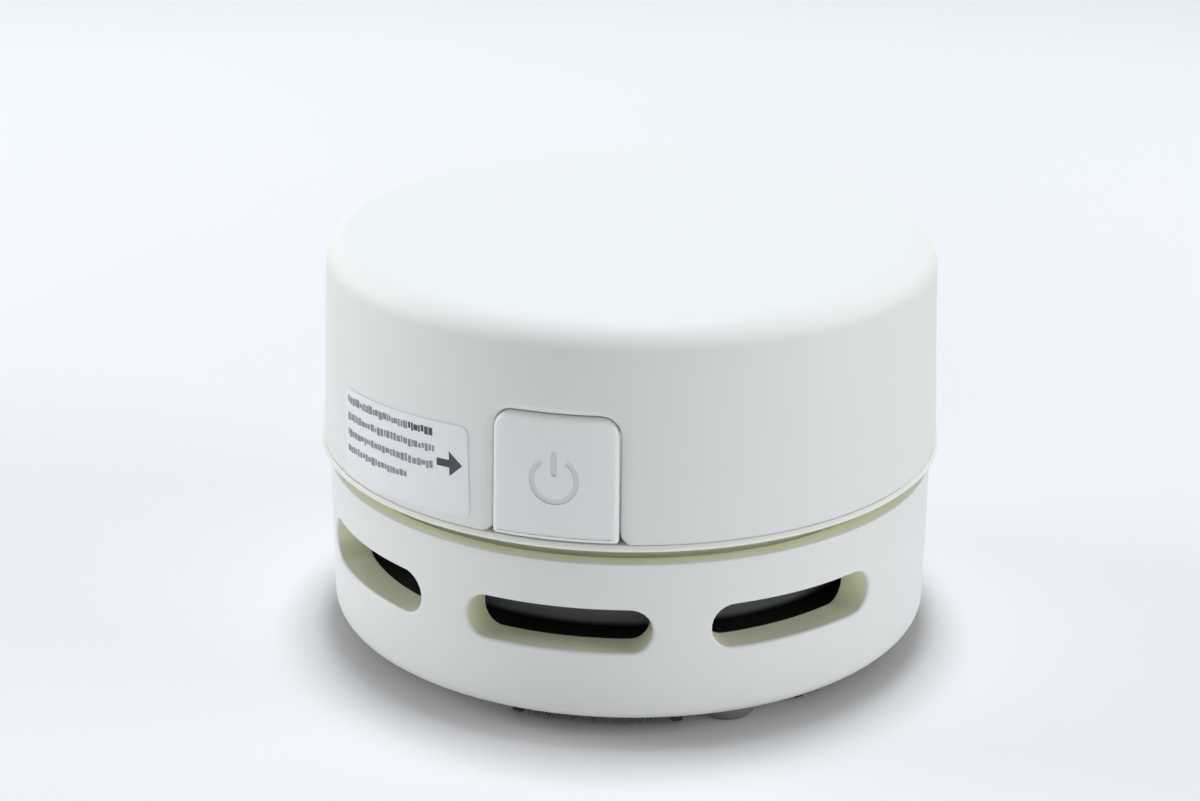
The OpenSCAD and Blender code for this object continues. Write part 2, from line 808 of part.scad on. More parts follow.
cell_coil = coil(4.2, 2.6, cell_spring_l, cell_wire, cell_turns);
echo(cell_spring_gap = coil_gap(cell_coil, cell_wire));

// A cell's spring on the front plate, wide at the plate
module cell_spring() {
    color("silver")
        translate([cell_x, -plate_y, cell_z]) rotate([-90, 0, 0])
            tube(cell_coil, 6, cell_wire / 2);
}

module cell_spring_right() {
    cell_spring();
}

module cell_spring_left() {
    rotate([0, 0, 180]) cell_spring();
}

// ---- Motor ----

module motor_prism(r, half_flat, h) {
    intersection() {
        cylinder(h = h, r = r);
        translate([-half_flat, -r - 1, -1]) cube([2 * half_flat, 2 * r + 2, h + 2]);
    }
}

module motor_can() {
    color("silver")
        difference() {
            union() {
                translate([0, 0, motor_z]) motor_prism(motor_r, motor_flat / 2, motor_l);
                translate([0, 0, motor_z - motor_boss_h])
                    cylinder(h = motor_boss_h + eps, r = motor_boss_r);
            }
            translate([0, 0, motor_z + can_t]) motor_prism(motor_r - can_t, flat_in, motor_l);
            translate([0, 0, motor_z - motor_boss_h - 1])
                cylinder(h = motor_boss_h + can_t + 2, r = bush_r + tight);
            for (s = [-1, 1])
                translate([0, s * motor_screw_y, motor_z - 1])
                    cylinder(h = can_t + 2, r = motor_screw_r + touch);
        }
}

module motor_end() {
    color("ivory")
        difference() {
            union() {
                translate([0, 0, can_top]) motor_prism(motor_r, motor_flat / 2, end_t);
                translate([0, 0, can_top - 0.6])
                    motor_prism(motor_r - can_t - touch, flat_in - touch, 0.6 + eps);
                translate([0, 0, end_top - eps]) cylinder(h = end_boss_h + eps, r = end_boss_r);
            }
            translate([0, 0, can_top - 1]) cylinder(h = end_bush_z - can_top + 1 + eps, r = brush_room_r);
            translate([0, 0, end_bush_z]) cylinder(h = bush_h + 0.3, r = bush_r + tight);
            // slots for the terminals
            for (s = [-1, 1])
                block([s * terminal_x - terminal_w / 2 - touch, -motor_r - 1, terminal_z],
                    [s * terminal_x + terminal_w / 2 + touch, 0.2 - terminal_in,
                        terminal_z + terminal_t + 2 * touch]);
        }
}

module motor_terminals() {
    color("gold")
        for (s = [-1, 1])
            block([s * terminal_x - terminal_w / 2, -terminal_out, terminal_z + touch],
                [s * terminal_x + terminal_w / 2, -terminal_in, terminal_z + terminal_t + touch]);
}

module motor_magnets() {
    color("dimgray")
        around(2)
            segment(magnet_out - magnet_t, magnet_out, armature_z - 1, armature_h + 2, 76);
}

// The lower bearing sits in the can's collar, the upper one in the plastic end
module motor_bushes() {
    color("goldenrod")
        for (z = [motor_z - motor_boss_h, end_bush_z])
            translate([0, 0, z])
                difference() {
                    cylinder(h = bush_h, r = bush_r);
                    translate([0, 0, -1]) cylinder(h = bush_h + 2, r = shaft_r + running);
                }
}

module motor_brushes() {
    color("black")
        for (s = [-1, 1])
            translate([s * (commutator_r + running + 1), 0, commutator_z + commutator_h / 2])
                cube([2, 1.8, 1.8], center = true);
}

// A three-pole core: a drum with three winding slots
module motor_armature() {
    color("sienna")
        translate([0, 0, armature_z])
            difference() {
                cylinder(h = armature_h, r = armature_r);
                translate([0, 0, -1]) cylinder(h = armature_h + 2, r = shaft_r + tight);
                for (a = [0, 120, 240])
                    rotate([0, 0, a])
                        translate([2.4, -0.7, -1]) cube([armature_r, 1.4, armature_h + 2]);
            }
}

module motor_commutator() {
    color("goldenrod")
        translate([0, 0, commutator_z])
            difference() {
                cylinder(h = commutator_h, r = commutator_r);
                translate([0, 0, -1]) cylinder(h = commutator_h + 2, r = shaft_r + tight);
            }
}

module motor_shaft() {
    color("silver")
        translate([0, 0, blade_z]) cylinder(h = shaft_top - blade_z, r = shaft_r);
}

// ---- Leads, with points set by hand ----

lead_r = lead_d / 2;
tab_x = cell_x - contact_w / 2 + 1;
tab_z = cell_z + contact_w / 2 + 1;
pin_y = -switch_back - 3.5;
pin_z = stem_z + switch_w / 2 + 1;
terminal_mid_z = terminal_z + terminal_t / 2 + touch;

battery_route = [
    [-tab_x, contact_t - bay_half + lead_r + touch, tab_z], [-8, -25, tab_z + 2],
    [-5.5, -24.5, pin_z + 2], [-pin_x, pin_y - lead_r - touch, pin_z]
];
switch_route = [
    [pin_x, pin_y - lead_r - touch, pin_z], [3.4, -25.5, pin_z + 3], [4.4, -20, pin_z + 6],
    [terminal_x, -motor_r - 2.4, terminal_mid_z + 2.2],
    [terminal_x, -motor_r - 1, terminal_mid_z + lead_r + 0.3]
];
return_route = [
    [tab_x, contact_t - bay_half + lead_r + touch, tab_z], [8, -24, tab_z + 5],
    [2, -19, tab_z + 7.4], [-3.5, -15.5, terminal_mid_z + 3],
    [-terminal_x, -motor_r - 1, terminal_mid_z + lead_r + 0.3]
];

module lead_battery() {
    color("red") tube(lead_curve(battery_route, 3), 8, lead_r);
}

module lead_switch() {
    color("red") tube(lead_curve(switch_route, 3), 8, lead_r);
}

module lead_return() {
    color("black") tube(lead_curve(return_route, 3), 8, lead_r);
}

// ---- Fan ----

module fan_wheel() {
    color("lightgray")
        difference() {
            union() {
                translate([0, 0, fan_back_z]) cylinder(h = fan_back_t, r = fan_r);
                translate([0, 0, blade_z - loose])
                    cylinder(h = fan_back_z + fan_back_t - blade_z + loose + 0.1, r = hub_r);
                around(blade_count)
                    translate([0, -blade_in, blade_z]) rotate([0, 0, blade_turn])
                        translate([-blade_t / 2, blade_in - fan_r, 0])
                            cube([blade_t, fan_r - blade_in, blade_h + eps]);
            }
            translate([0, 0, blade_z - 1]) cylinder(h = big, r = shaft_r + tight);
        }
}

module fan_case() {
    color([0.2, 0.2, 0.2])
        difference() {
            union() {
                translate([0, 0, fan_case_z])
                    cylinder(h = plate_z - fan_case_z, r = fan_case_r);
                for (a = case_screw_turns) turned(a)
                    translate([0, -case_screw_ring, plate_z - case_boss_h])
                        cylinder(h = case_boss_h, r = case_boss_r);
            }
            difference() {
                translate([0, 0, fan_case_z - 1])
                    cylinder(h = plate_z - fan_top_t - fan_case_z + 1, r = fan_case_r - fan_case_t);
                for (a = case_screw_turns) turned(a)
                    translate([0, -case_screw_ring, plate_z - case_boss_h])
                        cylinder(h = case_boss_h, r = case_boss_r);
            }
            translate([0, 0, plate_z - fan_top_t - 1])
                cylinder(h = fan_top_t + 2, r = motor_boss_r + 0.4);
            for (s = [-1, 1])
                translate([0, s * motor_screw_y, plate_z - fan_top_t - 1])
                    cylinder(h = fan_top_t + 2, r = motor_head_r + loose);
            for (y = tray_screw_y)
                translate([0, y, plate_z - fan_top_t - 1])
                    cylinder(h = fan_top_t + 2, r = screw_r + loose);
            for (a = case_screw_turns) turned(a)
                translate([0, -case_screw_ring, plate_z - case_boss_h - 1])
                    cylinder(h = case_boss_h + 2, r = screw_r + touch);
        }
}

// ---- Screws ----

module case_screws() {
    color("silver")
        for (a = case_screw_turns) turned(a)
            translate([0, -case_screw_ring, plate_top]) screw(case_screw_l, screw_r, head_r, head_h);
}

module tray_screws() {
    color("silver")
        for (y = tray_screw_y)
            translate([0, y, floor_top])
                screw(tray_floor_t + plate_t + fan_top_t - 0.2, screw_r, head_r, head_h);
}

module motor_screws() {
    color("silver")
        for (s = [-1, 1])
            translate([0, s * motor_screw_y, plate_z]) rotate([180, 0, 0])
                screw(plate_t + can_t, motor_screw_r, motor_head_r, motor_head_h);
}

module base_screws() {
    color("silver")
        around(base_turns, base_screw_start)
            translate([0, -foot_ring_r, base_z + head_h + head_gap]) rotate([180, 0, 0])
                screw(base_screw_l, screw_r, head_r, head_h);
}

// ---- Dust cup ----

// The space of one slot, grown by g, between two radii
module slot_space(r_in, r_out, g) {
    half = slot_h / 2 + g;
    segment(r_in, r_out, slot_mid - half, 2 * half, slot_angle);
    for (s = [-1, 1]) turned(s * slot_angle / 2) bar(0, slot_mid, r_in, r_out, half);
}

// A copy at each exhaust slot, with plain wall between the two groups
module at_slots() {
    for (side = [0, 180], i = [0:slot_count - 1])
        turned(side + (i - (slot_count - 1) / 2) * slot_pitch) children();
}

module dust_cup() {
    edge_r = cup_out(cup_z + cup_edge);
    color("white")
        difference() {
            union() {
                rotate_extrude()
                    polygon(concat(
                        [[base_r + loose, cup_z]],
                        arc(edge_r - cup_edge, cup_z + cup_edge, cup_edge, -90, 0, 4),
                        [
                            [cup_out(cup_top - plate_edge), cup_top - plate_edge],
                            [cup_r - plate_edge, cup_top],
                            [cup_in(cup_top), cup_top],
                            [cup_in(shelf_top), shelf_top], [shelf_in, shelf_top],
                            [shelf_in, shelf_top - shelf_t],
                            [cup_in(shelf_top - shelf_t), shelf_top - shelf_t],
                            [cup_in(base_top + shelf_t), base_top + shelf_t],
                            [base_r - ledge_w, base_top + shelf_t], [base_r - ledge_w, base_top],
                            [base_r + loose, base_top]
                        ]
                    ));
                at_slots() slot_space(collar_in, cup_r - cup_wall, collar_t);
                // bayonet ledges
                around(lug_count, lug_start)
                    segment(ledge_in, cup_in(ledge_z) + 0.2, ledge_z, lug_t, ledge_angle);
                // bosses for the base plate's screws
                around(base_turns, base_screw_start)
                    translate([0, -foot_ring_r, base_top])
                        cylinder(h = chamber_h - head_gap, r = base_boss_r);
            }
            at_slots() slot_space(collar_in - 1, cup_r + 1, 0);
            around(base_turns, base_screw_start)
                translate([0, -foot_ring_r, base_top - 1])
                    cylinder(h = chamber_h, r = screw_r + touch);
        }
}

module base_plate() {
    groove_w = brush_w / 2 + 0.1;
    color("white")
        difference() {
            union() {
                translate([0, 0, base_z]) cylinder(h = base_t, r = base_r);
                translate([0, 0, base_top - eps])
                    cylinder(h = chimney_h + eps, r = inlet_r + chimney_t);
            }
            translate([0, 0, base_z - 1]) cylinder(h = base_t + chimney_h + 2, r = inlet_r);
            // grooves of the brush strips
            around(brush_count, brush_turn)
                segment(brush_r - groove_w, brush_r + groove_w, base_z - 1, 1 + brush_back_t + 0.1,
                    brush_angle + 0.4);
            around(base_turns, foot_start)
                translate([0, -foot_ring_r, base_z - 1]) cylinder(h = base_t + 2, r = peg_r);
            around(base_turns, base_screw_start) translate([0, -foot_ring_r, base_z - 1]) {
                cylinder(h = base_t + 2, r = screw_r + touch);
                cylinder(h = 1 + head_h + head_gap, r = head_r + loose);
            }
        }
}

module glide_feet() {
    color("black")
        around(base_turns, foot_start)
            translate([0, -foot_ring_r, 0]) {
                cylinder(h = foot_bevel, r1 = foot_r - foot_bevel, r2 = foot_r);
                translate([0, 0, foot_bevel - eps])
                    cylinder(h = base_z - foot_bevel + eps, r = foot_r);
                translate([0, 0, base_z - eps]) cylinder(h = base_t, r = peg_r - tight);
            }
}

// One strip: a slice of its backing and rows of three-sided strands, made one
// millimetre deep and drawn out to the strip's real depth
module brush_strip(i) {
    top = base_z + brush_back_t;
    depth = top - brush_clear;
    share = brush_back_t / depth; // of the depth, taken by the backing
    span = brush_angle - 1.6; // degrees between the outermost strands
    pitch = (brush_w - 1) / max(brush_rows - 1, 1);
    color("black")
        turned(brush_turn + i * 360 / brush_count)
            translate([0, 0, brush_clear])
                resize([0, 0, depth])
                    union() {
                        segment(brush_r - brush_w / 2, brush_r + brush_w / 2, 1 - share, share,
                            brush_angle);
                        for (row = [0:brush_rows - 1], col = [0:brush_cols - 1])
                            rotate([0, 0, span * (col / (brush_cols - 1) - 0.5)])
                                translate([0, -(brush_r - (brush_w - 1) / 2 + row * pitch), 0])
                                    cylinder(h = 1 - share / 2, r = strand_r, $fn = 3);
                    }
}

module filter_seal() {
    color([0.1, 0.1, 0.1])
        translate([0, 0, shelf_top])
            difference() {
                cylinder(h = seal_t, r = frame_r + 0.2);
                translate([0, 0, -1]) cylinder(h = seal_t + 2, r = shelf_in);
            }
}

module filter_frame() {
    rebate = mesh_t + 0.1;
    color([0.1, 0.1, 0.1])
        translate([0, 0, frame_z]) {
            difference() {
                cylinder(h = frame_t, r = frame_r);
                translate([0, 0, -1]) cylinder(h = frame_t + 2, r = filter_open_r);
                translate([0, 0, -1]) cylinder(h = 1 + rebate, r = filter_open_r + 1.1);
            }
            // spokes over the mesh
            for (a = [0, 90])
                rotate([0, 0, a])
                    translate([-filter_open_r - 0.5, -0.8, rebate])
                        cube([2 * filter_open_r + 1, 1.6, frame_t - rebate]);
        }
}

module filter_mesh() {
    color("lightgray")
        translate([0, 0, frame_z]) cylinder(h = mesh_t, r = filter_open_r + 1);
}

top_cover();
cover_label();
power_button();
button_spring();
middle_frame();
battery_tray();
battery_left();
battery_right();
contact_plus();
contact_minus();
contact_bridge();
cell_spring_left();
cell_spring_right();
motor_can();
motor_end();
motor_magnets();
motor_bushes();
motor_brushes();
motor_armature();
motor_commutator();
motor_shaft();
motor_terminals();
fan_wheel();
switch_case();
switch_plunger();
lead_battery();
lead_switch();
lead_return();
fan_case();
case_screws();
tray_screws();
motor_screws();
dust_cup();
base_plate();
filter_seal();
filter_frame();
filter_mesh();
base_screws();
glide_feet();
brush_strip(0);  // brush_1
brush_strip(1);  // brush_2
brush_strip(2);  // brush_3
brush_strip(3);  // brush_4
brush_strip(4);  // brush_5
brush_strip(5);  // brush_6
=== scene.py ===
import math
import random

import bmesh
import bpy
from mathutils import Matrix, Vector


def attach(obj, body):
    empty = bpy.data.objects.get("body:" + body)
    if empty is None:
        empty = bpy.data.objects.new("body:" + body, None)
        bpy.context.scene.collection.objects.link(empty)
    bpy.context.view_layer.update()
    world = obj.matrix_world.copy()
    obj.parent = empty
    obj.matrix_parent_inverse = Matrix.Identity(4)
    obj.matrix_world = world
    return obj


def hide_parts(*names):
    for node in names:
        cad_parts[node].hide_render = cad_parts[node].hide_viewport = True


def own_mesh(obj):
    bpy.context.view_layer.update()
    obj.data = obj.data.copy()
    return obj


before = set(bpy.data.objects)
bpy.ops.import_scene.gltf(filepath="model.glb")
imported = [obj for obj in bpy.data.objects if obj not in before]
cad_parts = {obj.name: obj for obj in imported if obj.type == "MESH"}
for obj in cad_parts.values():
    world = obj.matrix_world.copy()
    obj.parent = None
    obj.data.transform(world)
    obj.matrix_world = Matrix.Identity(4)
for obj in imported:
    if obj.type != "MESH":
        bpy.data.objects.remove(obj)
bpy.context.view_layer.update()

scene = bpy.context.scene
scene.view_settings.view_transform = "Standard"
mm = 0.001
full = 2 * math.pi


# Shader helpers

def addNode(tree, kind, values=None, **settings):
    node = tree.nodes.new("ShaderNode" + kind)
    for key, value in settings.items():
        setattr(node, key, value)
    for key, value in (values or {}).items():
        if isinstance(value, bpy.types.NodeSocket):
            tree.links.new(value, node.inputs[key])
        else:
            node.inputs[key].default_value = value
    return node


def calc(tree, operation, first, second=0.0, clamp=False):
    node = addNode(tree, "Math", {0: first, 1: second}, operation=operation, use_clamp=clamp)
    return node.outputs[0]


def blend(tree, factor, first, second):
    node = addNode(tree, "Mix", {0: factor, 6: first, 7: second}, data_type="RGBA")
    return node.outputs[2]


def ramp(tree, value, low, high, lowOut=0.0, highOut=1.0):
    node = addNode(tree, "MapRange", {0: value, 1: low, 2: high, 3: lowOut, 4: highOut}, clamp=True)
    return node.outputs[0]


def place(tree):
    return addNode(tree, "TexCoord").outputs["Object"]


def splitPlace(tree):
    return addNode(tree, "SeparateXYZ", {0: place(tree)}).outputs


# Distance of a flat point from the origin
def flatLength(tree, first, second):
    flat = addNode(tree, "CombineXYZ", {0: first, 1: second})
    return addNode(tree, "VectorMath", {0: flat.outputs[0]}, operation="LENGTH").outputs["Value"]


def wave(tree, scale, distortion, axis):
    return addNode(tree, "TexWave", {"Vector": place(tree), "Scale": scale, "Distortion": distortion},
                   wave_type="BANDS", bands_direction=axis).outputs[1]


def useGroup(tree, group, values):
    return addNode(tree, "Group", values, node_tree=group).outputs


def newGroup(name, inputs, outputs):
    group = bpy.data.node_groups.new(name, "ShaderNodeTree")
    for label, kind, value in inputs:
        socket = group.interface.new_socket(name=label, in_out="INPUT", socket_type="NodeSocket" + kind)
        if value is not None:
            socket.default_value = value
    for label, kind in outputs:
        group.interface.new_socket(name=label, in_out="OUTPUT", socket_type="NodeSocket" + kind)
    return group, group.nodes.new("NodeGroupInput").outputs, group.nodes.new("NodeGroupOutput").inputs


# Uneven tone, uneven gloss and fine grain of a moulded or pressed surface
def buildSkinGroup():
    group, given, result = newGroup(
        "surfaceSkin",
        [("Colour", "Color", (1, 1, 1, 1)), ("Shade", "Color", (1, 1, 1, 1)), ("Roughness", "Float", 0.4),
         ("Patch", "Float", 60.0), ("Grain", "Float", 3000.0), ("Depth", "Float", 0.3)],
        [("Colour", "Color"), ("Roughness", "Float"), ("Height", "Float")])
    spot = place(group)
    patch = addNode(group, "TexNoise", {"Vector": spot, "Scale": given["Patch"], "Detail": 4.0})
    grain = addNode(group, "TexNoise", {"Vector": spot, "Scale": given["Grain"], "Detail": 2.0})
    smear = addNode(group, "TexNoise", {"Vector": spot, "Scale": calc(group, "MULTIPLY", given["Patch"], 3.1),
                                        "Detail": 6.0, "Distortion": 0.6})
    shade = ramp(group, patch.outputs[0], 0.35, 0.75)
    group.links.new(blend(group, shade, given["Colour"], given["Shade"]), result["Colour"])
    gloss = ramp(group, smear.outputs[0], 0.3, 0.7, -0.05, 0.06)
    group.links.new(calc(group, "ADD", given["Roughness"], gloss, True), result["Roughness"])
    group.links.new(calc(group, "MULTIPLY", grain.outputs[0], given["Depth"]), result["Height"])
    return group


# Long fine marks that a tool or a roller leaves on metal
def buildBrushedGroup():
    group, given, result = newGroup(
        "brushedMarks",
        [("Stretch", "Vector", (1.0, 1.0, 1.0)), ("Scale", "Float", 900.0)],
        [("Height", "Float"), ("Tone", "Float")])
    spot = addNode(group, "VectorMath", {0: place(group), 1: given["Stretch"]}, operation="MULTIPLY")
    marks = addNode(group, "TexNoise", {"Vector": spot.outputs[0], "Scale": given["Scale"], "Detail": 5.0})
    group.links.new(marks.outputs[0], result["Height"])
    group.links.new(ramp(group, marks.outputs[0], 0.35, 0.65), result["Tone"])
    return group


# One mask that is 1 within a radius and one that is 1 above a height, both with a soft border
def buildZoneGroup():
    group, given, result = newGroup(
        "zoneMask",
        [("Radius From", "Float", 0.0), ("Radius To", "Float", 1.0), ("Height From", "Float", 0.0),
         ("Height To", "Float", 1.0)],
        [("Radius", "Float"), ("Height", "Float")])
    parts = splitPlace(group)
    radius = flatLength(group, parts[0], parts[1])
    group.links.new(ramp(group, radius, given["Radius From"], given["Radius To"], 1.0, 0.0), result["Radius"])
    group.links.new(ramp(group, parts[2], given["Height From"], given["Height To"]), result["Height"])
    return group


skinGroup = buildSkinGroup()
brushedGroup = buildBrushedGroup()
zoneGroup = buildZoneGroup()


def rgb(red, green, blue):
    return (red, green, blue, 1.0)


# One finish: a skin of two close tones over a plain shader, with room for extra layers
def makeFinish(name, colour, shade, roughness, patch, grain, depth, relief, layers=None, metallic=0.0):
    finish = bpy.data.materials.new(name)
    finish.use_nodes = True
    tree = finish.node_tree
    shader = tree.nodes["Principled BSDF"]
    skin = useGroup(tree, skinGroup, {"Colour": rgb(*colour), "Shade": rgb(*shade), "Roughness": roughness,
                                      "Patch": patch, "Grain": grain, "Depth": depth})
    look = {"colour": skin["Colour"], "height": skin["Height"]}
    if layers:
        layers(tree, look)
    bump = addNode(tree, "Bump", {"Strength": 1.0, "Distance": relief * mm, "Height": look["height"]})
    tree.links.new(look["colour"], shader.inputs["Base Color"])
    tree.links.new(skin["Roughness"], shader.inputs["Roughness"])
    tree.links.new(bump.outputs[0], shader.inputs["Normal"])
    shader.inputs["Metallic"].default_value = metallic
    return finish


# Painted light: the yellow glow of light that passes through thin plastic into its hollows, inside a radius; one
# tint below a height, one above
def paintedGlowTint(rFrom, rTo, zFrom, zTo, lowTint, highTint):
    def layers(tree, look):
        zone = useGroup(tree, zoneGroup, {"Radius From": rFrom * mm, "Radius To": rTo * mm,
                                          "Height From": zFrom * mm, "Height To": zTo * mm})
        tint = blend(tree, zone["Height"], rgb(*lowTint), rgb(*highTint))
        look["colour"] = blend(tree, zone["Radius"], look["colour"], tint)
    return layers


# Slightly darker floor of an engraving on the sloping front of the button
def signTint(middle, reach, floorAt, faceAt, tint):
    lean, border = 0.0408, 0.2      # slope of the front, width of the soft border

    def layers(tree, look):
        parts = splitPlace(tree)
        front = calc(tree, "ADD", flatLength(tree, parts[0], parts[1]), calc(tree, "MULTIPLY", parts[2], lean))
        deep = ramp(tree, front, floorAt * mm, faceAt * mm, 1.0, 0.0)
        away = flatLength(tree, parts[0], calc(tree, "SUBTRACT", parts[2], middle * mm))
        near = ramp(tree, away, reach * mm, (reach + border) * mm, 1.0, 0.0)
        look["colour"] = blend(tree, calc(tree, "MULTIPLY", deep, near), look["colour"], rgb(*tint))
    return layers


# Painted light and shade: a tint below a height or beyond a radius
def paintedLightTint(kind, start, end, tint):
    def layers(tree, look):
        zone = useGroup(tree, zoneGroup, {kind + " From": start * mm, kind + " To": end * mm})
        look["colour"] = blend(tree, zone[kind], rgb(*tint), look["colour"])
    return layers


def brushed(stretch, scale, tone):
    def layers(tree, look):
        marks = useGroup(tree, brushedGroup, {"Stretch": stretch, "Scale": scale})
        look["colour"] = blend(tree, calc(tree, "MULTIPLY", marks["Tone"], 0.5), look["colour"], rgb(*tone))
        look["height"] = calc(tree, "ADD", look["height"], calc(tree, "MULTIPLY", marks["Height"], 0.6))
    return layers


def rings(scale, tone):
    def layers(tree, look):
        ridges = wave(tree, scale, 0.4, "Z")
        look["colour"] = blend(tree, ridges, look["colour"], rgb(*tone))
        look["height"] = calc(tree, "ADD", look["height"], ridges)
    return layers


# Wrap of a cell: one plain colour with a wide pale band and a thin pale line, and bare metal at its ends
def cellWrap(side):
    bands = (((10.5, 10.7), (22.4, 22.6), (0.62, 0.64, 0.66)), ((9.3, 9.4), (10.0, 10.1), (0.75, 0.76, 0.78)))

    def layers(tree, look):
        along = calc(tree, "MULTIPLY", splitPlace(tree)[1], side * 1000.0)
        for start, end, tint in bands:
            band = calc(tree, "MULTIPLY", ramp(tree, along, *start), ramp(tree, along, *end, 1.0, 0.0))
            look["colour"] = blend(tree, band, look["colour"], rgb(*tint))
        bare = calc(tree, "ADD", ramp(tree, along, 24.0, 24.1), ramp(tree, along, -25.1, -25.0, 1.0, 0.0), True)
        look["colour"] = blend(tree, bare, look["colour"], rgb(0.66, 0.66, 0.64))
    return layers


def meshWeave(tree, look):
    warp, weft = (wave(tree, 330.0, 0.3, axis) for axis in "XY")
    cross = calc(tree, "MAXIMUM", warp, weft)
    look["colour"] = blend(tree, cross, rgb(0.018, 0.018, 0.02), look["colour"])
    look["height"] = cross


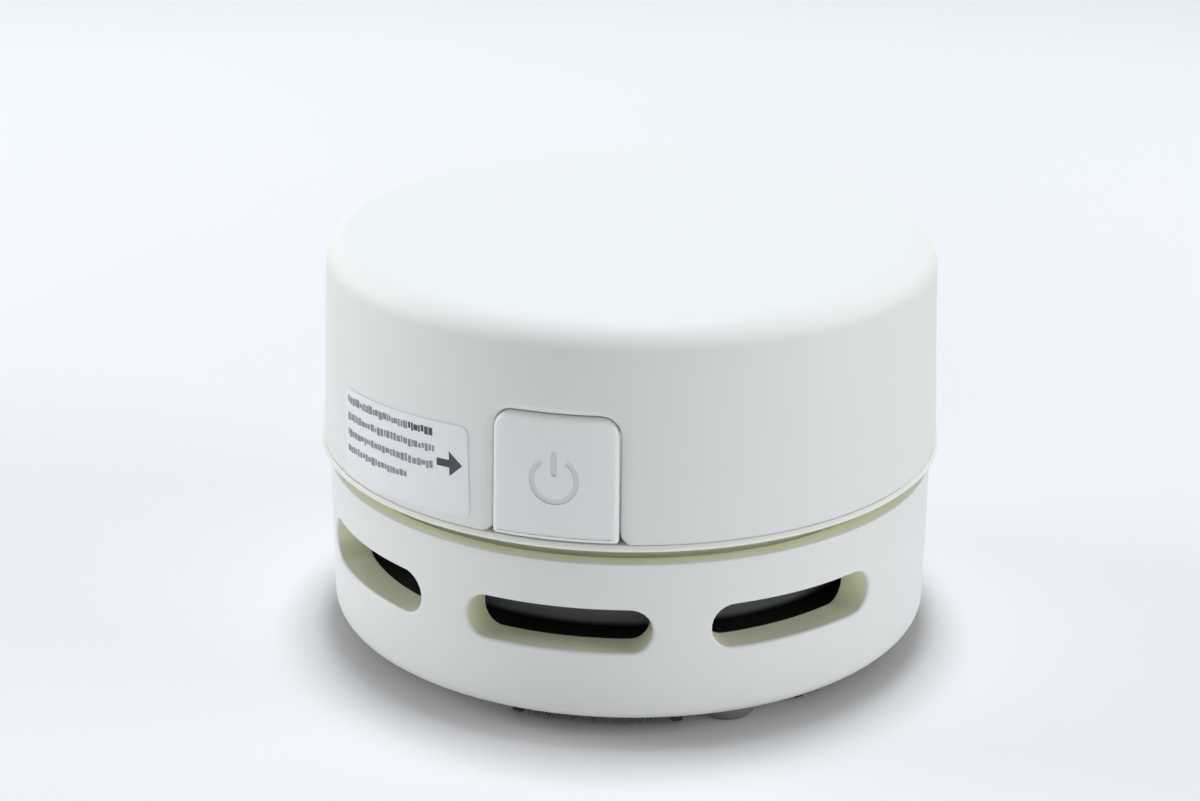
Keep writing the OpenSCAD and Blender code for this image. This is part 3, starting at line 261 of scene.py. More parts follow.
white = (0.81, 0.817, 0.80)
whiteShade = (0.795, 0.804, 0.787)
finishLooks = {      # two tones, roughness, scales of patches and grain, depth of the grain, relief in mm
    "coverPlastic": (white, whiteShade, 0.62, 25, 2600, 0.35, 0.012),
    "buttonPlastic": ((0.86, 0.89, 0.875), (0.85, 0.88, 0.865), 0.36, 90, 3000, 0.35, 0.01,
        signTint(36.1, 4.6, 43.64, 43.72, (0.74, 0.76, 0.755))),
    # the cup's slot tunnels and inner walls carry a painted glow of light through the plastic
    "cupPlastic": (white, whiteShade, 0.36, 25, 2600, 0.35, 0.012,
        paintedGlowTint(40.7, 41.35, 12.7, 14.2, (0.84, 0.84, 0.70), (0.87, 0.88, 0.62))),
    # the frame's neck in the groove under the flange carries a painted glow of light through the plastic
    "framePlastic": ((0.87, 0.88, 0.86), (0.85, 0.86, 0.84), 0.4, 30, 2600, 0.4, 0.012,
        paintedGlowTint(43.2, 43.6, 27.3, 27.5, (0.86, 0.865, 0.75), (0.89, 0.895, 0.85))),
    "innerPlastic": ((0.74, 0.75, 0.72), (0.70, 0.71, 0.67), 0.45, 60, 2200, 0.5, 0.02),
    "basePlastic": (white, (0.74, 0.755, 0.75), 0.42, 45, 1800, 0.6, 0.025),
    "labelFilm": ((0.85, 0.868, 0.885), (0.83, 0.848, 0.865), 0.5, 200, 5000, 0.2, 0.006),
    "paleInk": ((0.20, 0.20, 0.235), (0.36, 0.36, 0.40), 0.55, 260, 6000, 0.2, 0.004),
    "darkInk": ((0.045, 0.045, 0.06), (0.07, 0.07, 0.09), 0.55, 400, 6000, 0.2, 0.004),
    "springSteel": ((0.60, 0.60, 0.61), (0.48, 0.48, 0.50), 0.28, 300, 4000, 0.2, 0.004,
        brushed((1, 1, 1), 2500.0, (0.40, 0.40, 0.42)), 1.0),
    "contactNickel": ((0.70, 0.69, 0.66), (0.60, 0.59, 0.56), 0.3, 180, 3000, 0.3, 0.006,
        brushed((0.2, 6, 1), 900.0, (0.50, 0.49, 0.46)), 1.0),
    "motorSteel": ((0.66, 0.67, 0.68), (0.56, 0.57, 0.58), 0.33, 120, 2500, 0.3, 0.008,
        brushed((1, 1, 14), 500.0, (0.46, 0.47, 0.48)), 1.0),
    "motorPlastic": ((0.62, 0.62, 0.58), (0.55, 0.55, 0.51), 0.5, 120, 2500, 0.5, 0.02),
    "magnetFerrite": ((0.055, 0.055, 0.06), (0.09, 0.09, 0.095), 0.62, 220, 1500, 1.0, 0.04),
    "bushBronze": ((0.62, 0.42, 0.20), (0.48, 0.31, 0.14), 0.4, 300, 2500, 0.6, 0.02, None, 1.0),
    "brushCarbon": ((0.03, 0.03, 0.032), (0.06, 0.06, 0.062), 0.55, 400, 4000, 0.8, 0.03),
    "coreSteel": ((0.52, 0.52, 0.53), (0.40, 0.40, 0.41), 0.38, 200, 3000, 0.3, 0.02,
        rings(640.0, (0.28, 0.28, 0.29)), 1.0),
    "commutatorCopper": ((0.80, 0.42, 0.24), (0.62, 0.30, 0.16), 0.32, 300, 3000, 0.3, 0.01,
        rings(900.0, (0.55, 0.27, 0.14)), 1.0),
    "shaftSteel": ((0.72, 0.72, 0.73), (0.62, 0.62, 0.63), 0.2, 250, 3500, 0.2, 0.004,
        brushed((12, 12, 1), 400.0, (0.55, 0.55, 0.56)), 1.0),
    "fanPlastic": ((0.60, 0.61, 0.61), (0.52, 0.53, 0.52), 0.42, 80, 2200, 0.5, 0.02),
    "switchPlastic": ((0.70, 0.70, 0.68), (0.62, 0.62, 0.60), 0.45, 180, 2500, 0.5, 0.015),
    "plungerPlastic": ((0.05, 0.05, 0.055), (0.075, 0.075, 0.08), 0.4, 200, 2500, 0.4, 0.012),
    "leadRed": ((0.55, 0.025, 0.02), (0.42, 0.02, 0.018), 0.38, 260, 3000, 0.3, 0.012),
    "leadBlack": ((0.02, 0.02, 0.022), (0.035, 0.035, 0.037), 0.38, 260, 3000, 0.3, 0.012),
    "solderTin": ((0.58, 0.58, 0.60), (0.47, 0.47, 0.49), 0.3, 600, 3000, 0.6, 0.02, None, 1.0),
    # painted shadow: the fan case turns near black below a height, for the shade in the gap under it
    "darkPlastic": ((0.10, 0.105, 0.11), (0.12, 0.125, 0.13), 0.42, 90, 2200, 0.6, 0.02,
        paintedLightTint("Height", 12.95, 13.6, (0.006, 0.006, 0.005))),
    "screwSteel": ((0.62, 0.62, 0.64), (0.50, 0.50, 0.52), 0.3, 300, 3000, 0.3, 0.008,
        brushed((1, 1, 6), 800.0, (0.42, 0.42, 0.44)), 1.0),
    "footRubber": ((0.18, 0.181, 0.181), (0.15, 0.151, 0.151), 0.68, 150, 1800, 1.0, 0.05),
    "stopRubber": ((0.012, 0.014, 0.018), (0.03, 0.03, 0.034), 0.6, 150, 1800, 1.0, 0.04),
    "sealRubber": ((0.12, 0.12, 0.125), (0.17, 0.17, 0.17), 0.66, 150, 1800, 1.0, 0.04),
    "filterRim": ((0.012, 0.012, 0.0125), (0.022, 0.022, 0.023), 0.5, 90, 2200, 0.5, 0.02),
    "filterCloth": ((0.10, 0.10, 0.105), (0.065, 0.065, 0.07), 0.85, 110, 2600, 0.5, 0.12, meshWeave),
    "bristleNylon": ((0.17, 0.172, 0.17), (0.14, 0.142, 0.14), 0.4, 900, 4000, 0.3, 0.01),
    "cellLeft": ((0.05, 0.13, 0.20), (0.045, 0.11, 0.17), 0.3, 90, 2500, 0.2, 0.006, cellWrap(-1.0)),
    "cellRight": ((0.05, 0.13, 0.20), (0.045, 0.11, 0.17), 0.3, 90, 2500, 0.2, 0.006, cellWrap(1.0)),
}
finishes = {name: makeFinish(name, *look) for name, look in finishLooks.items()}
print("finishes ready:", len(finishes))


# Mesh helpers, in millimetres until a piece is finished

sharpAngle = 32.0      # edges over this many degrees stay sharp


def bareObject(bm, name):
    mesh = bpy.data.meshes.new(name)
    bm.to_mesh(mesh)
    bm.free()
    thing = bpy.data.objects.new(name, mesh)
    scene.collection.objects.link(thing)
    return thing


def finishPiece(bm, name, body, node, finish):
    bmesh.ops.remove_doubles(bm, verts=bm.verts, dist=0.0004)
    bmesh.ops.recalc_face_normals(bm, faces=bm.faces)
    bmesh.ops.scale(bm, vec=(mm, mm, mm), verts=bm.verts)
    piece = bareObject(bm, name)
    piece.data.polygons.foreach_set("use_smooth", [True] * len(piece.data.polygons))
    piece.data.set_sharp_from_angle(angle=math.radians(sharpAngle))
    piece.data.materials.append(finishes[finish])
    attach(piece, body)
    if node:
        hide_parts(node)
    return piece


def linesOf(verts):
    return list(dict.fromkeys(edge for vert in verts for edge in vert.link_edges))


def pointsOf(edges):
    return list(dict.fromkeys(vert for edge in edges for vert in edge.verts))


def newVerts(result):
    return [item for item in result["geom"] if isinstance(item, bmesh.types.BMVert)]


# Draws a row of edges out into the next row; move gives each point its new place
def growRow(bm, row, move):
    fresh = newVerts(bmesh.ops.extrude_edge_only(bm, edges=row))
    for vert in fresh:
        vert.co = move(vert.co.copy())
    known = set(fresh)
    return [edge for edge in linesOf(fresh) if edge.verts[0] in known and edge.verts[1] in known]


def rowAt(bm, test):
    return [edge for edge in bm.edges if edge.is_boundary and test(edge.verts[0].co) and test(edge.verts[1].co)]


# Sweeps the upright row of edges at one angle on round the Z axis
def sweepFrom(bm, startAngle, angle, steps):
    row = rowAt(bm, lambda co: abs(math.atan2(co.x, -co.y) - startAngle) < 1e-4)
    bmesh.ops.spin(bm, geom=pointsOf(row) + row, cent=(0, 0, 0), axis=(0, 0, 1), angle=angle, steps=steps)


def quarterTurns(count):
    return [full / 4 * i / count for i in range(1, count + 1)]


# The same turn round the Z axis at another radius and height
def ringPoint(co, radius, height):
    flat = co.xy.normalized() * radius
    return Vector((flat.x, flat.y, height))


# Goal on the border of a rectangle, straight out from an anchor, or its corner where that is near
def borderPoint(anchor, way, side, high, near):
    if abs(math.atan2(abs(way.y), abs(way.x)) - math.atan2(high, side)) < math.radians(near):
        return anchor + Vector((math.copysign(side, way.x), math.copysign(high, way.y), 0))
    return anchor + way * min(side / max(abs(way.x), 1e-6), high / max(abs(way.y), 1e-6))


def addBlock(bm, low, high, edge):
    verts = bmesh.ops.create_cube(bm, size=1.0)["verts"]
    bmesh.ops.scale(bm, vec=[b - a for a, b in zip(low, high)], verts=verts)
    bmesh.ops.translate(bm, vec=[(a + b) / 2 for a, b in zip(low, high)], verts=verts)
    return bmesh.ops.bevel(bm, geom=linesOf(verts), offset=edge, segments=2, profile=0.5,
                           affect="EDGES", material=-1)["verts"]


# Blocks by two corners and an edge; one that stands on the right has a twin on the left
def addBlocks(bm, blocks):
    for low, high, edge in blocks:
        addBlock(bm, low, high, edge)
        if low[0] > 0:
            addBlock(bm, (-high[0], *low[1:]), (-low[0], *high[1:]), edge)


def capEnd(bm, made):
    last = [item for item in made["geom_last"] if isinstance(item, bmesh.types.BMEdge)]
    bmesh.ops.contextual_create(bm, geom=last)


# A profile of (radius, height) points turned about the Z axis through (x, y)
def addTurned(bm, profile, angle=full, steps=96, start=0.0, x=0.0, y=0.0):
    verts = [bm.verts.new((r * math.sin(start), -r * math.cos(start), z)) for r, z in profile]
    edges = [bm.edges.new(pair) for pair in zip(verts, verts[1:] + verts[:1])]
    closed = abs(angle - full) < 1e-6
    if not closed:
        bmesh.ops.contextual_create(bm, geom=verts + edges)
    before = set(bm.verts)
    made = bmesh.ops.spin(bm, geom=verts + edges, cent=(0, 0, 0), axis=(0, 0, 1), angle=angle,
                          steps=steps, use_merge=closed)
    if not closed:
        capEnd(bm, made)
    fresh = verts + [vert for vert in bm.verts if vert not in before]
    bmesh.ops.translate(bm, vec=(x, y, 0), verts=fresh)


def turnedBy(verts, bm, degrees):
    bmesh.ops.rotate(bm, cent=(0, 0, 0), matrix=Matrix.Rotation(math.radians(degrees), 3, "Z"), verts=verts)


# Rolls a flat sheet of (along, height, radius) points round the Z axis
def rollUp(verts, unroll, radiusAt):
    for vert in verts:
        along, height, radius = vert.co
        angle = along / unroll
        radius = radius + radiusAt(height)
        vert.co = (radius * math.sin(angle), -radius * math.cos(angle), height)


# Stage, lights and camera

stageSize = dict(floorR=0.86, floorColour=(0.815, 0.812, 0.835), floorShade=0.993, farColour=(0.96, 0.975, 1.0),
                 farFrom=60.0, farTo=360.0, worldLight=0.18, worldColour=(0.97, 0.985, 1.0),
                 backColour=(0.93, 0.94, 0.965))
lamps = {      # place, height it points at, size, power and colour
    "topLamp": ((-0.006, 0.09, 1.0), 0.02, (0.2, 0.22), 7.0, (0.885, 0.955, 1.0)),
    "frontLamp": ((0.15, -1.0, 0.18), 0.03, (0.34, 0.34), 1.15, (1.0, 0.98, 0.925)),
    "sideLamp1": ((-1.0, 0.0, 0.3), 0.03, (0.46, 0.46), 4.4, (1.0, 1.0, 1.0)),
    "sideLamp3": ((1.0, 0.0, 0.3), 0.03, (0.46, 0.46), 3.6, (1.0, 1.0, 1.0)),
}
cameraView = dict(sensor=36.0, lens=78.8338, near=0.01, far=20.0, spot=(0.0758621, -0.3331252, 0.1612618),
                  turn=(69.1387188, -0.2366689, 13.6213547))


def buildStage():
    stage = stageSize
    bm = bmesh.new()
    bmesh.ops.create_circle(bm, cap_ends=True, radius=stage["floorR"], segments=96)
    floor = bareObject(bm, "paleFloor")
    tone = stage["floorColour"]
    shade = [part * stage["floorShade"] for part in tone]
    # painted light and shade: the floor is darker near the object and paler far from it
    paintedFloorLight = paintedLightTint("Radius", stage["farFrom"], stage["farTo"], stage["farColour"])
    floor.data.materials.append(makeFinish("floorPaper", tone, shade, 0.8, 2.0, 900, 0.3, 0.02, paintedFloorLight))

    world = bpy.data.worlds.new("studio")
    world.use_nodes = True
    scene.world = world
    tree = world.node_tree
    tree.nodes.clear()
    ray = addNode(tree, "LightPath").outputs
    seen = calc(tree, "MAXIMUM", ray["Is Camera Ray"],
                calc(tree, "MAXIMUM", ray["Is Glossy Ray"], ray["Is Transmission Ray"]))
    light = addNode(tree, "Background", {"Color": rgb(*stage["worldColour"]), "Strength": stage["worldLight"]})
    pale = addNode(tree, "Background", {"Color": rgb(*stage["backColour"]), "Strength": 1.0})
    mix = addNode(tree, "MixShader", {0: seen, 1: light.outputs[0], 2: pale.outputs[0]})
    addNode(tree, "OutputWorld", {"Surface": mix.outputs[0]})


def addLamp(name, spot, target, size, power, colour):
    lamp = bpy.data.lights.new(name, "AREA")
    lamp.color = colour
    lamp.shape = "RECTANGLE"
    lamp.size, lamp.size_y = size
    lamp.energy = power
    thing = bpy.data.objects.new(name, lamp)
    thing.location = spot
    aim = Vector((0, 0, target)) - Vector(spot)
    thing.rotation_euler = aim.to_track_quat("-Z", "Y").to_euler()
    scene.collection.objects.link(thing)


def buildCamera():
    view = bpy.data.cameras.new("photoView")
    view.sensor_width = cameraView["sensor"]
    view.sensor_fit = "HORIZONTAL"
    view.lens = cameraView["lens"]
    view.clip_start, view.clip_end = cameraView["near"], cameraView["far"]
    camera = bpy.data.objects.new("photoView", view)
    camera.location = cameraView["spot"]
    camera.rotation_euler = [math.radians(angle) for angle in cameraView["turn"]]
    scene.collection.objects.link(camera)
    scene.camera = camera


buildStage()
for lampName, values in lamps.items():
    addLamp(lampName, *values)
buildCamera()
print("stage ready")


# Dust cup: one eighth with its slot is made flat, rolled up and repeated, and a plain eighth is swept

cupSize = dict(top=25.0, low=2.6, radius=41.7, draft=0.15, wall=2.2, edge=2.1, rim=0.5, parts=8,
               slotMid=15.5, slotR=3.0, slotAngle=26.2, tunnelIn=37.1, tunnelEdge=0.15, collar=1.2, lip=0.45,
               shelfIn=36.35, shelfTop=9.4, shelfT=1.2, shelfEdge=0.15, baseTop=5.2, baseIn=37.65, baseEdge=0.1,
               bossRing=34.75, bossR=2.5, bossHole=1.15, bossTop=9.3, bossEdge=0.2, bossFrom=95.0,
               ledgeIn=38.17, ledgeLow=22.75, ledgeT=1.6, ledgeAngle=24.0, ledgeEdge=0.2, ledgeFrom=60.0)


def buildCup():
    cup = cupSize
    edge, rim, lip, slotR = cup["edge"], cup["rim"], cup["lip"], cup["slotR"]
    mid, tunnelIn, tunnelEdge = cup["slotMid"], cup["tunnelIn"], cup["tunnelEdge"]
    half = math.radians(cup["slotAngle"] / 2) * cup["radius"]
    width = math.pi * cup["radius"] / cup["parts"]
    upper = cup["top"] - rim - mid
    lower = mid - cup["low"] - edge
    outer, inner = cup["radius"], cup["radius"] - cup["wall"]
    bm = bmesh.new()
    bmesh.ops.create_circle(bm, cap_ends=False, radius=slotR, segments=24,
                            matrix=Matrix.Rotation(full / 48, 4, "Z"))
    for vert in bm.verts:
        vert.co.x += math.copysign(half, vert.co.x)
        vert.co.z = outer - lip
    bmesh.ops.subdivide_edges(bm, edges=[e for e in bm.edges if e.calc_length() > 5], cuts=12)
    for vert in bm.verts:
        if abs(vert.co.x) < half:
            vert.co.y = math.copysign(slotR, vert.co.y)
    firstRow = bm.edges[:]

    def outward(co):
        if abs(co.x) <= half:
            return Vector((0, math.copysign(1, co.y), 0))
        return Vector((co.x - math.copysign(half, co.x), co.y, 0)).normalized()

    def toRim(co, share, depth):
        way = outward(co)
        high = upper if way.y > 0 else lower
        if abs(co.x) <= half:
            goal = Vector((co.x, math.copysign(high, co.y), depth))
        else:
            goal = borderPoint(Vector((math.copysign(half, co.x), 0, depth)), way, width - half, high, 7.5)
        return Vector((co.x, co.y, depth)).lerp(goal, share)

    def lipped(co, angle, before):
        moved = co + outward(co) * lip * (math.cos(before) - math.cos(angle))
        moved.z = outer - lip * (1 - math.sin(angle))
        return moved

    row, turn = firstRow, 0.0
    for angle in quarterTurns(5):
        row = growRow(bm, row, lambda co: lipped(co, angle, turn))
        turn = angle
    for share in (0.16, 0.3, 0.5, 1.0):
        row = growRow(bm, row, lambda co: toRim(co, share, outer))
    topRow = [e for e in row if min(v.co.y for v in e.verts) > upper - 1e-4]
    lowRow = [e for e in row if max(v.co.y for v in e.verts) < -lower + 1e-4]

    for grow, depth in ((rim * 0.6, outer - 0.1), (rim, outer - rim), (rim, inner + 0.2), (rim * 0.5, inner),
                        (0, inner)):
        topRow = growRow(bm, topRow, lambda co: Vector((co.x, upper + grow, depth)))
    bend = [(edge * math.sin(angle), outer - edge * (1 - math.cos(angle))) for angle in quarterTurns(8)]
    for drop, depth in bend + [(edge, inner + 0.05), (edge - 0.1, inner), (0, inner)]:
        lowRow = growRow(bm, lowRow, lambda co: Vector((co.x, -lower - drop, depth)))

    row = firstRow      # inwards through the tunnel and back along its outside to the wall
    for grow, depth in ((0, inner), (0, tunnelIn + tunnelEdge), (tunnelEdge, tunnelIn),
                        (cup["collar"] - 2 * tunnelEdge, tunnelIn), (tunnelEdge, tunnelIn + tunnelEdge),
                        (0, inner)):
        row = growRow(bm, row, lambda co: Vector((co.x, co.y, depth)) + outward(co) * grow)
    for share in (0.4, 1.0):
        row = growRow(bm, row, lambda co: toRim(co, share, inner))

    bmesh.ops.translate(bm, vec=(0, mid, 0), verts=bm.verts)
    rollUp(bm.verts, cup["radius"],
           lambda height: -cup["draft"] * (cup["top"] - height) / (cup["top"] - cup["low"]))
    bmesh.ops.recalc_face_normals(bm, faces=bm.faces)

    def repeated(angle, steps):
        bmesh.ops.spin(bm, geom=bm.verts[:] + bm.edges[:] + bm.faces[:], cent=(0, 0, 0), axis=(0, 0, 1),
                       angle=angle, steps=steps, use_duplicate=True)
        bmesh.ops.remove_doubles(bm, verts=bm.verts, dist=0.002)

    eighth = full / cup["parts"]
    turnedBy(bm.verts, bm, -math.degrees(eighth))
    repeated(2 * eighth, 2)      # three slots in front
    sweepFrom(bm, 1.5 * eighth, eighth, 16)      # a plain side
    repeated(full / 2, 1)        # and the same behind

    wallR = inner + 0.3      # a little inside the wall

    def shelfProfile(inR, low, high, soft):
        return [(inR + soft, low), (wallR, low), (wallR, high), (inR + soft, high), (inR, high - soft),
                (inR, low + soft)]

    shelfTop, shelfT = cup["shelfTop"], cup["shelfT"]
    addTurned(bm, shelfProfile(cup["shelfIn"], shelfTop - shelfT, shelfTop, cup["shelfEdge"]))
    baseLow, baseIn, soft = cup["baseTop"], cup["baseIn"], cup["baseEdge"]
    baseHigh = baseLow + shelfT
    addTurned(bm, [(wallR, baseLow), (wallR, baseHigh), (baseIn + soft, baseHigh), (baseIn, baseHigh - soft),
                   (baseIn, baseLow)])
    hole, bossR, bossTop, bossEdge = cup["bossHole"], cup["bossR"], cup["bossTop"], cup["bossEdge"]
    for i in range(3):
        boss = math.radians(cup["bossFrom"] + 120 * i)
        addTurned(bm, [(hole, baseLow), (bossR, baseLow), (bossR, bossTop - bossEdge),
                       (bossR - bossEdge, bossTop), (hole + bossEdge / 2, bossTop),
                       (hole, bossTop - bossEdge / 2)],
                  steps=28, x=cup["bossRing"] * math.sin(boss), y=-cup["bossRing"] * math.cos(boss))
        addTurned(bm, shelfProfile(cup["ledgeIn"], cup["ledgeLow"], cup["ledgeLow"] + cup["ledgeT"],
                                   cup["ledgeEdge"]),
                  math.radians(cup["ledgeAngle"]), 12,
                  math.radians(cup["ledgeFrom"] + 120 * i - cup["ledgeAngle"] / 2))
    finishPiece(bm, "dustCup", "cup", "dust_cup", "cupPlastic")


buildCup()
print("dust cup ready")


# Cover: the front with the button's notch is made flat and rolled up, the rest is turned from its edge

coverSize = dict(low=27.88, radius=42.4, draft=1.0, fillet=4.0, wall=2.0, height=28.57, edge=0.15,
                 notchHalf=8.4, notchTop=44.5, notchCorner=2.6, notchRound=1.0, flare=1.3, flareWidth=5.0,
                 patchHalf=15.4, patchTop=49.0, steps=112, topRings=(34.0, 27.0, 18.0, 9.0, 3.0),
                 blocks=(((15.4, -14.0, 45.2), (16.6, 14.0, 54.7), 0.2),      # rib over a cell
                         ((38.0, -0.6, 29.15), (40.6, 0.6, 34.15), 0.2),      # key in the frame
                         ((-3.0, -40.3, 45.5), (3.0, -38.98, 46.9), 0.2)))      # lug for the button's nose


def coverRadius(height):
    cover = coverSize
    return -cover["draft"] * (height - cover["low"]) / (cover["height"] - cover["fillet"])


def buildCover():
    cover = coverSize
    low, edge, wall, fillet, flare = (cover[key] for key in ("low", "edge", "wall", "fillet", "flare"))
    notchHalf, notchTop, corner = cover["notchHalf"], cover["notchTop"], cover["notchCorner"]
    patchHalf, patchTop = cover["patchHalf"], cover["patchTop"]
    outer, inner = cover["radius"], cover["radius"] - wall
    straightTop = low + cover["height"] - fillet
    cornerX, cornerZ = notchHalf - corner, notchTop - corner
    points = [(-notchHalf, low + rise) for rise in (edge, 0.5, 0.8, 1.2, 1.7, 2.6, 4.2, 6, 8, 10, 12)]
    for i in range(8):
        angle = math.pi - full / 4 * i / 7
        points.append((corner * math.cos(angle) - cornerX, corner * math.sin(angle) + cornerZ))
    points += [(x * cornerX / 4, notchTop) for x in range(-3, 1)]
    points += [(-x, z) for x, z in reversed(points[:-1])]
    bm = bmesh.new()
    verts = [bm.verts.new((x, z, outer - cover["notchRound"])) for x, z in points]
    firstRow = [bm.edges.new(pair) for pair in zip(verts, verts[1:])]

    def outward(co):
        if co.y <= cornerZ:
            return Vector((math.copysign(1, co.x), 0, 0))
        if abs(co.x) <= cornerX + 1e-5:
            return Vector((0, 1, 0))
        return Vector((co.x - math.copysign(cornerX, co.x), co.y - cornerZ, 0)).normalized()

    def toPatch(co, share, depth):
        if co.y <= cornerZ:
            goal = Vector((math.copysign(patchHalf, co.x), co.y, depth))
        elif abs(co.x) <= cornerX + 1e-5:
            goal = Vector((co.x, patchTop, depth))
        else:
            goal = borderPoint(Vector((math.copysign(cornerX, co.x), cornerZ, depth)), outward(co),
                               patchHalf - cornerX, patchTop - cornerZ, 6.5)
        return Vector((co.x, co.y, depth)).lerp(goal, share)

    innerRow = growRow(bm, firstRow, lambda co: Vector((co.x, co.y, inner)))
    for row, face in ((firstRow, outer), (innerRow, inner)):      # the same rows on both faces of the wall
        turn = 0.0
        for angle in quarterTurns(7):
            step = cover["notchRound"] * (math.cos(turn) - math.cos(angle))
            depth = inner if face == inner else outer - cover["notchRound"] * (1 - math.sin(angle))
            row = growRow(bm, row, lambda co: Vector((co.x, co.y, depth)) + outward(co) * step)
            turn = angle
        for share in (0.2, 0.4, 1.0):
            row = growRow(bm, row, lambda co: toPatch(co, share, face))

    for vert in bm.verts:      # the notch's legs curve outwards at their feet
        rest = low + flare - vert.co.y
        if rest > 0:
            bend = flare - math.sqrt(max(flare ** 2 - rest ** 2, 0))
            near = max(0.0, 1 - (abs(vert.co.x) - notchHalf) / cover["flareWidth"])
            vert.co.x += math.copysign(bend * near, vert.co.x)
    rollUp(bm.verts, outer, coverRadius)

    sideAngle = patchHalf / outer
    sweepFrom(bm, sideAngle, full - 2 * sideAngle, cover["steps"])
    bmesh.ops.remove_doubles(bm, verts=bm.verts, dist=0.002)

    arcR = outer - cover["draft"] - fillet      # centre of the top's rounding
    for inset in (0.0, wall):
        rimR = outer - inset + coverRadius(patchTop)
        row = rowAt(bm, lambda co: abs(co.z - patchTop) < 1e-3 and abs(co.xy.length - rimR) < 0.05)
        bend = fillet - inset
        rows = [(outer - inset + coverRadius(straightTop), straightTop)]
        rows += [(arcR + bend * math.cos(angle), straightTop + bend * math.sin(angle)) for angle in quarterTurns(12)]
        rows += [(radius, straightTop + bend) for radius in cover["topRings"]]
        for radius, height in rows:
            row = growRow(bm, row, lambda co: ringPoint(co, radius, height))
        bmesh.ops.contextual_create(bm, geom=row)

    foot = low + edge + 1e-3
    row = rowAt(bm, lambda co: co.z < foot and co.xy.length > inner + 0.02)
    bend = [(edge * (1 - math.cos(angle)), low + edge * (1 - math.sin(angle))) for angle in quarterTurns(3)]
    for back, height in bend + [(wall, low), (wall, low + edge)]:
        row = growRow(bm, row, lambda co: ringPoint(co, max(min(co.xy.length, outer - back), inner), height))
    bmesh.ops.remove_doubles(bm, verts=bm.verts, dist=0.03)
    bmesh.ops.dissolve_degenerate(bm, edges=bm.edges, dist=0.01)
    bmesh.ops.holes_fill(bm, edges=rowAt(bm, lambda co: True), sides=8)      # ends of the wall at the notch
    addBlocks(bm, cover["blocks"])
    finishPiece(bm, "coverShell", "cover", "top_cover", "coverPlastic")


buildCover()
print("cover ready")


# Button: a flat plate is cut and engraved, then rolled up; its walls and stem are blocks behind it

buttonSize = dict(half=8.3, low=27.9, top=44.4, corner=2.4, foot=0.6, proud=0.2, thick=1.7, round=0.8,
                  signMid=36.1, signR=3.25, signLine=0.75, signDepth=0.18, signGap=34.0,
                  signStroke=(36.6, 39.9),
                  blocks=(((6.9, -40.6, 29.15), (8.1, -38.14, 42.6), 0.15),      # side wall
                          ((7.9, -39.5, 29.15), (9.4, -38.14, 41.9), 0.15),      # wing behind the cover
                          ((-6.4, -40.9, 43.0), (6.4, -38.14, 44.1), 0.15),      # top wall
                          ((-2.0, -41.2, 34.1), (2.0, -33.44, 38.1), 0.2),      # stem
                          ((-3.0, -37.775, 43.0), (3.0, -36.775, 48.2), 0.15),      # tongue
                          ((-2.9, -39.6, 43.05), (2.9, -37.1, 44.1), 0.15),      # root of the tongue
                          ((-3.0, -38.775, 47.2), (3.0, -37.7, 48.2), 0.15)))      # nose


def roundedOutline(half, low, top, corner, foot, steps=7):
    outline = []
    for x, z, r, start in ((half, low, foot, -0.25), (half, top, corner, 0), (-half, top, corner, 0.25),
                           (-half, low, foot, 0.5)):
        cx, cz = x - math.copysign(r, x), z + (r if z == low else -r)
        for i in range(steps):
            angle = full * (start + 0.25 * i / (steps - 1))
            outline.append((cx + r * math.cos(angle), cz + r * math.sin(angle)))
    return outline


# A flat outline at one depth, drawn out into a plate
def addPlate(bm, outline, depth, thick):
    face = bm.faces.new([bm.verts.new((x, z, depth)) for x, z in outline])
    lift = bmesh.ops.extrude_face_region(bm, geom=[face])
    bmesh.ops.translate(bm, vec=(0, 0, thick), verts=newVerts(lift))


# Cuts one closed shape out of another and gives the result as a bmesh
def cutOut(bm, cutter):
    body, tool = bareObject(bm, "rawShape"), bareObject(cutter, "rawTool")
    change = body.modifiers.new("cut", "BOOLEAN")
    change.operation, change.solver, change.object = "DIFFERENCE", "EXACT", tool
    bpy.context.view_layer.update()
    ready = bpy.data.meshes.new_from_object(body.evaluated_get(bpy.context.evaluated_depsgraph_get()))
    result = bmesh.new()
    result.from_mesh(ready)
    for thing in (body, tool):
        mesh = thing.data
        bpy.data.objects.remove(thing)
        bpy.data.meshes.remove(mesh)
    bpy.data.meshes.remove(ready)
    return result


def slicedAcross(bm, low, high, step):
    for i in range(int((high - low) / step) + 1):
        bmesh.ops.bisect_plane(bm, geom=bm.verts[:] + bm.edges[:] + bm.faces[:], dist=1e-5,
                               plane_co=(low + i * step, 0, 0), plane_no=(1, 0, 0))


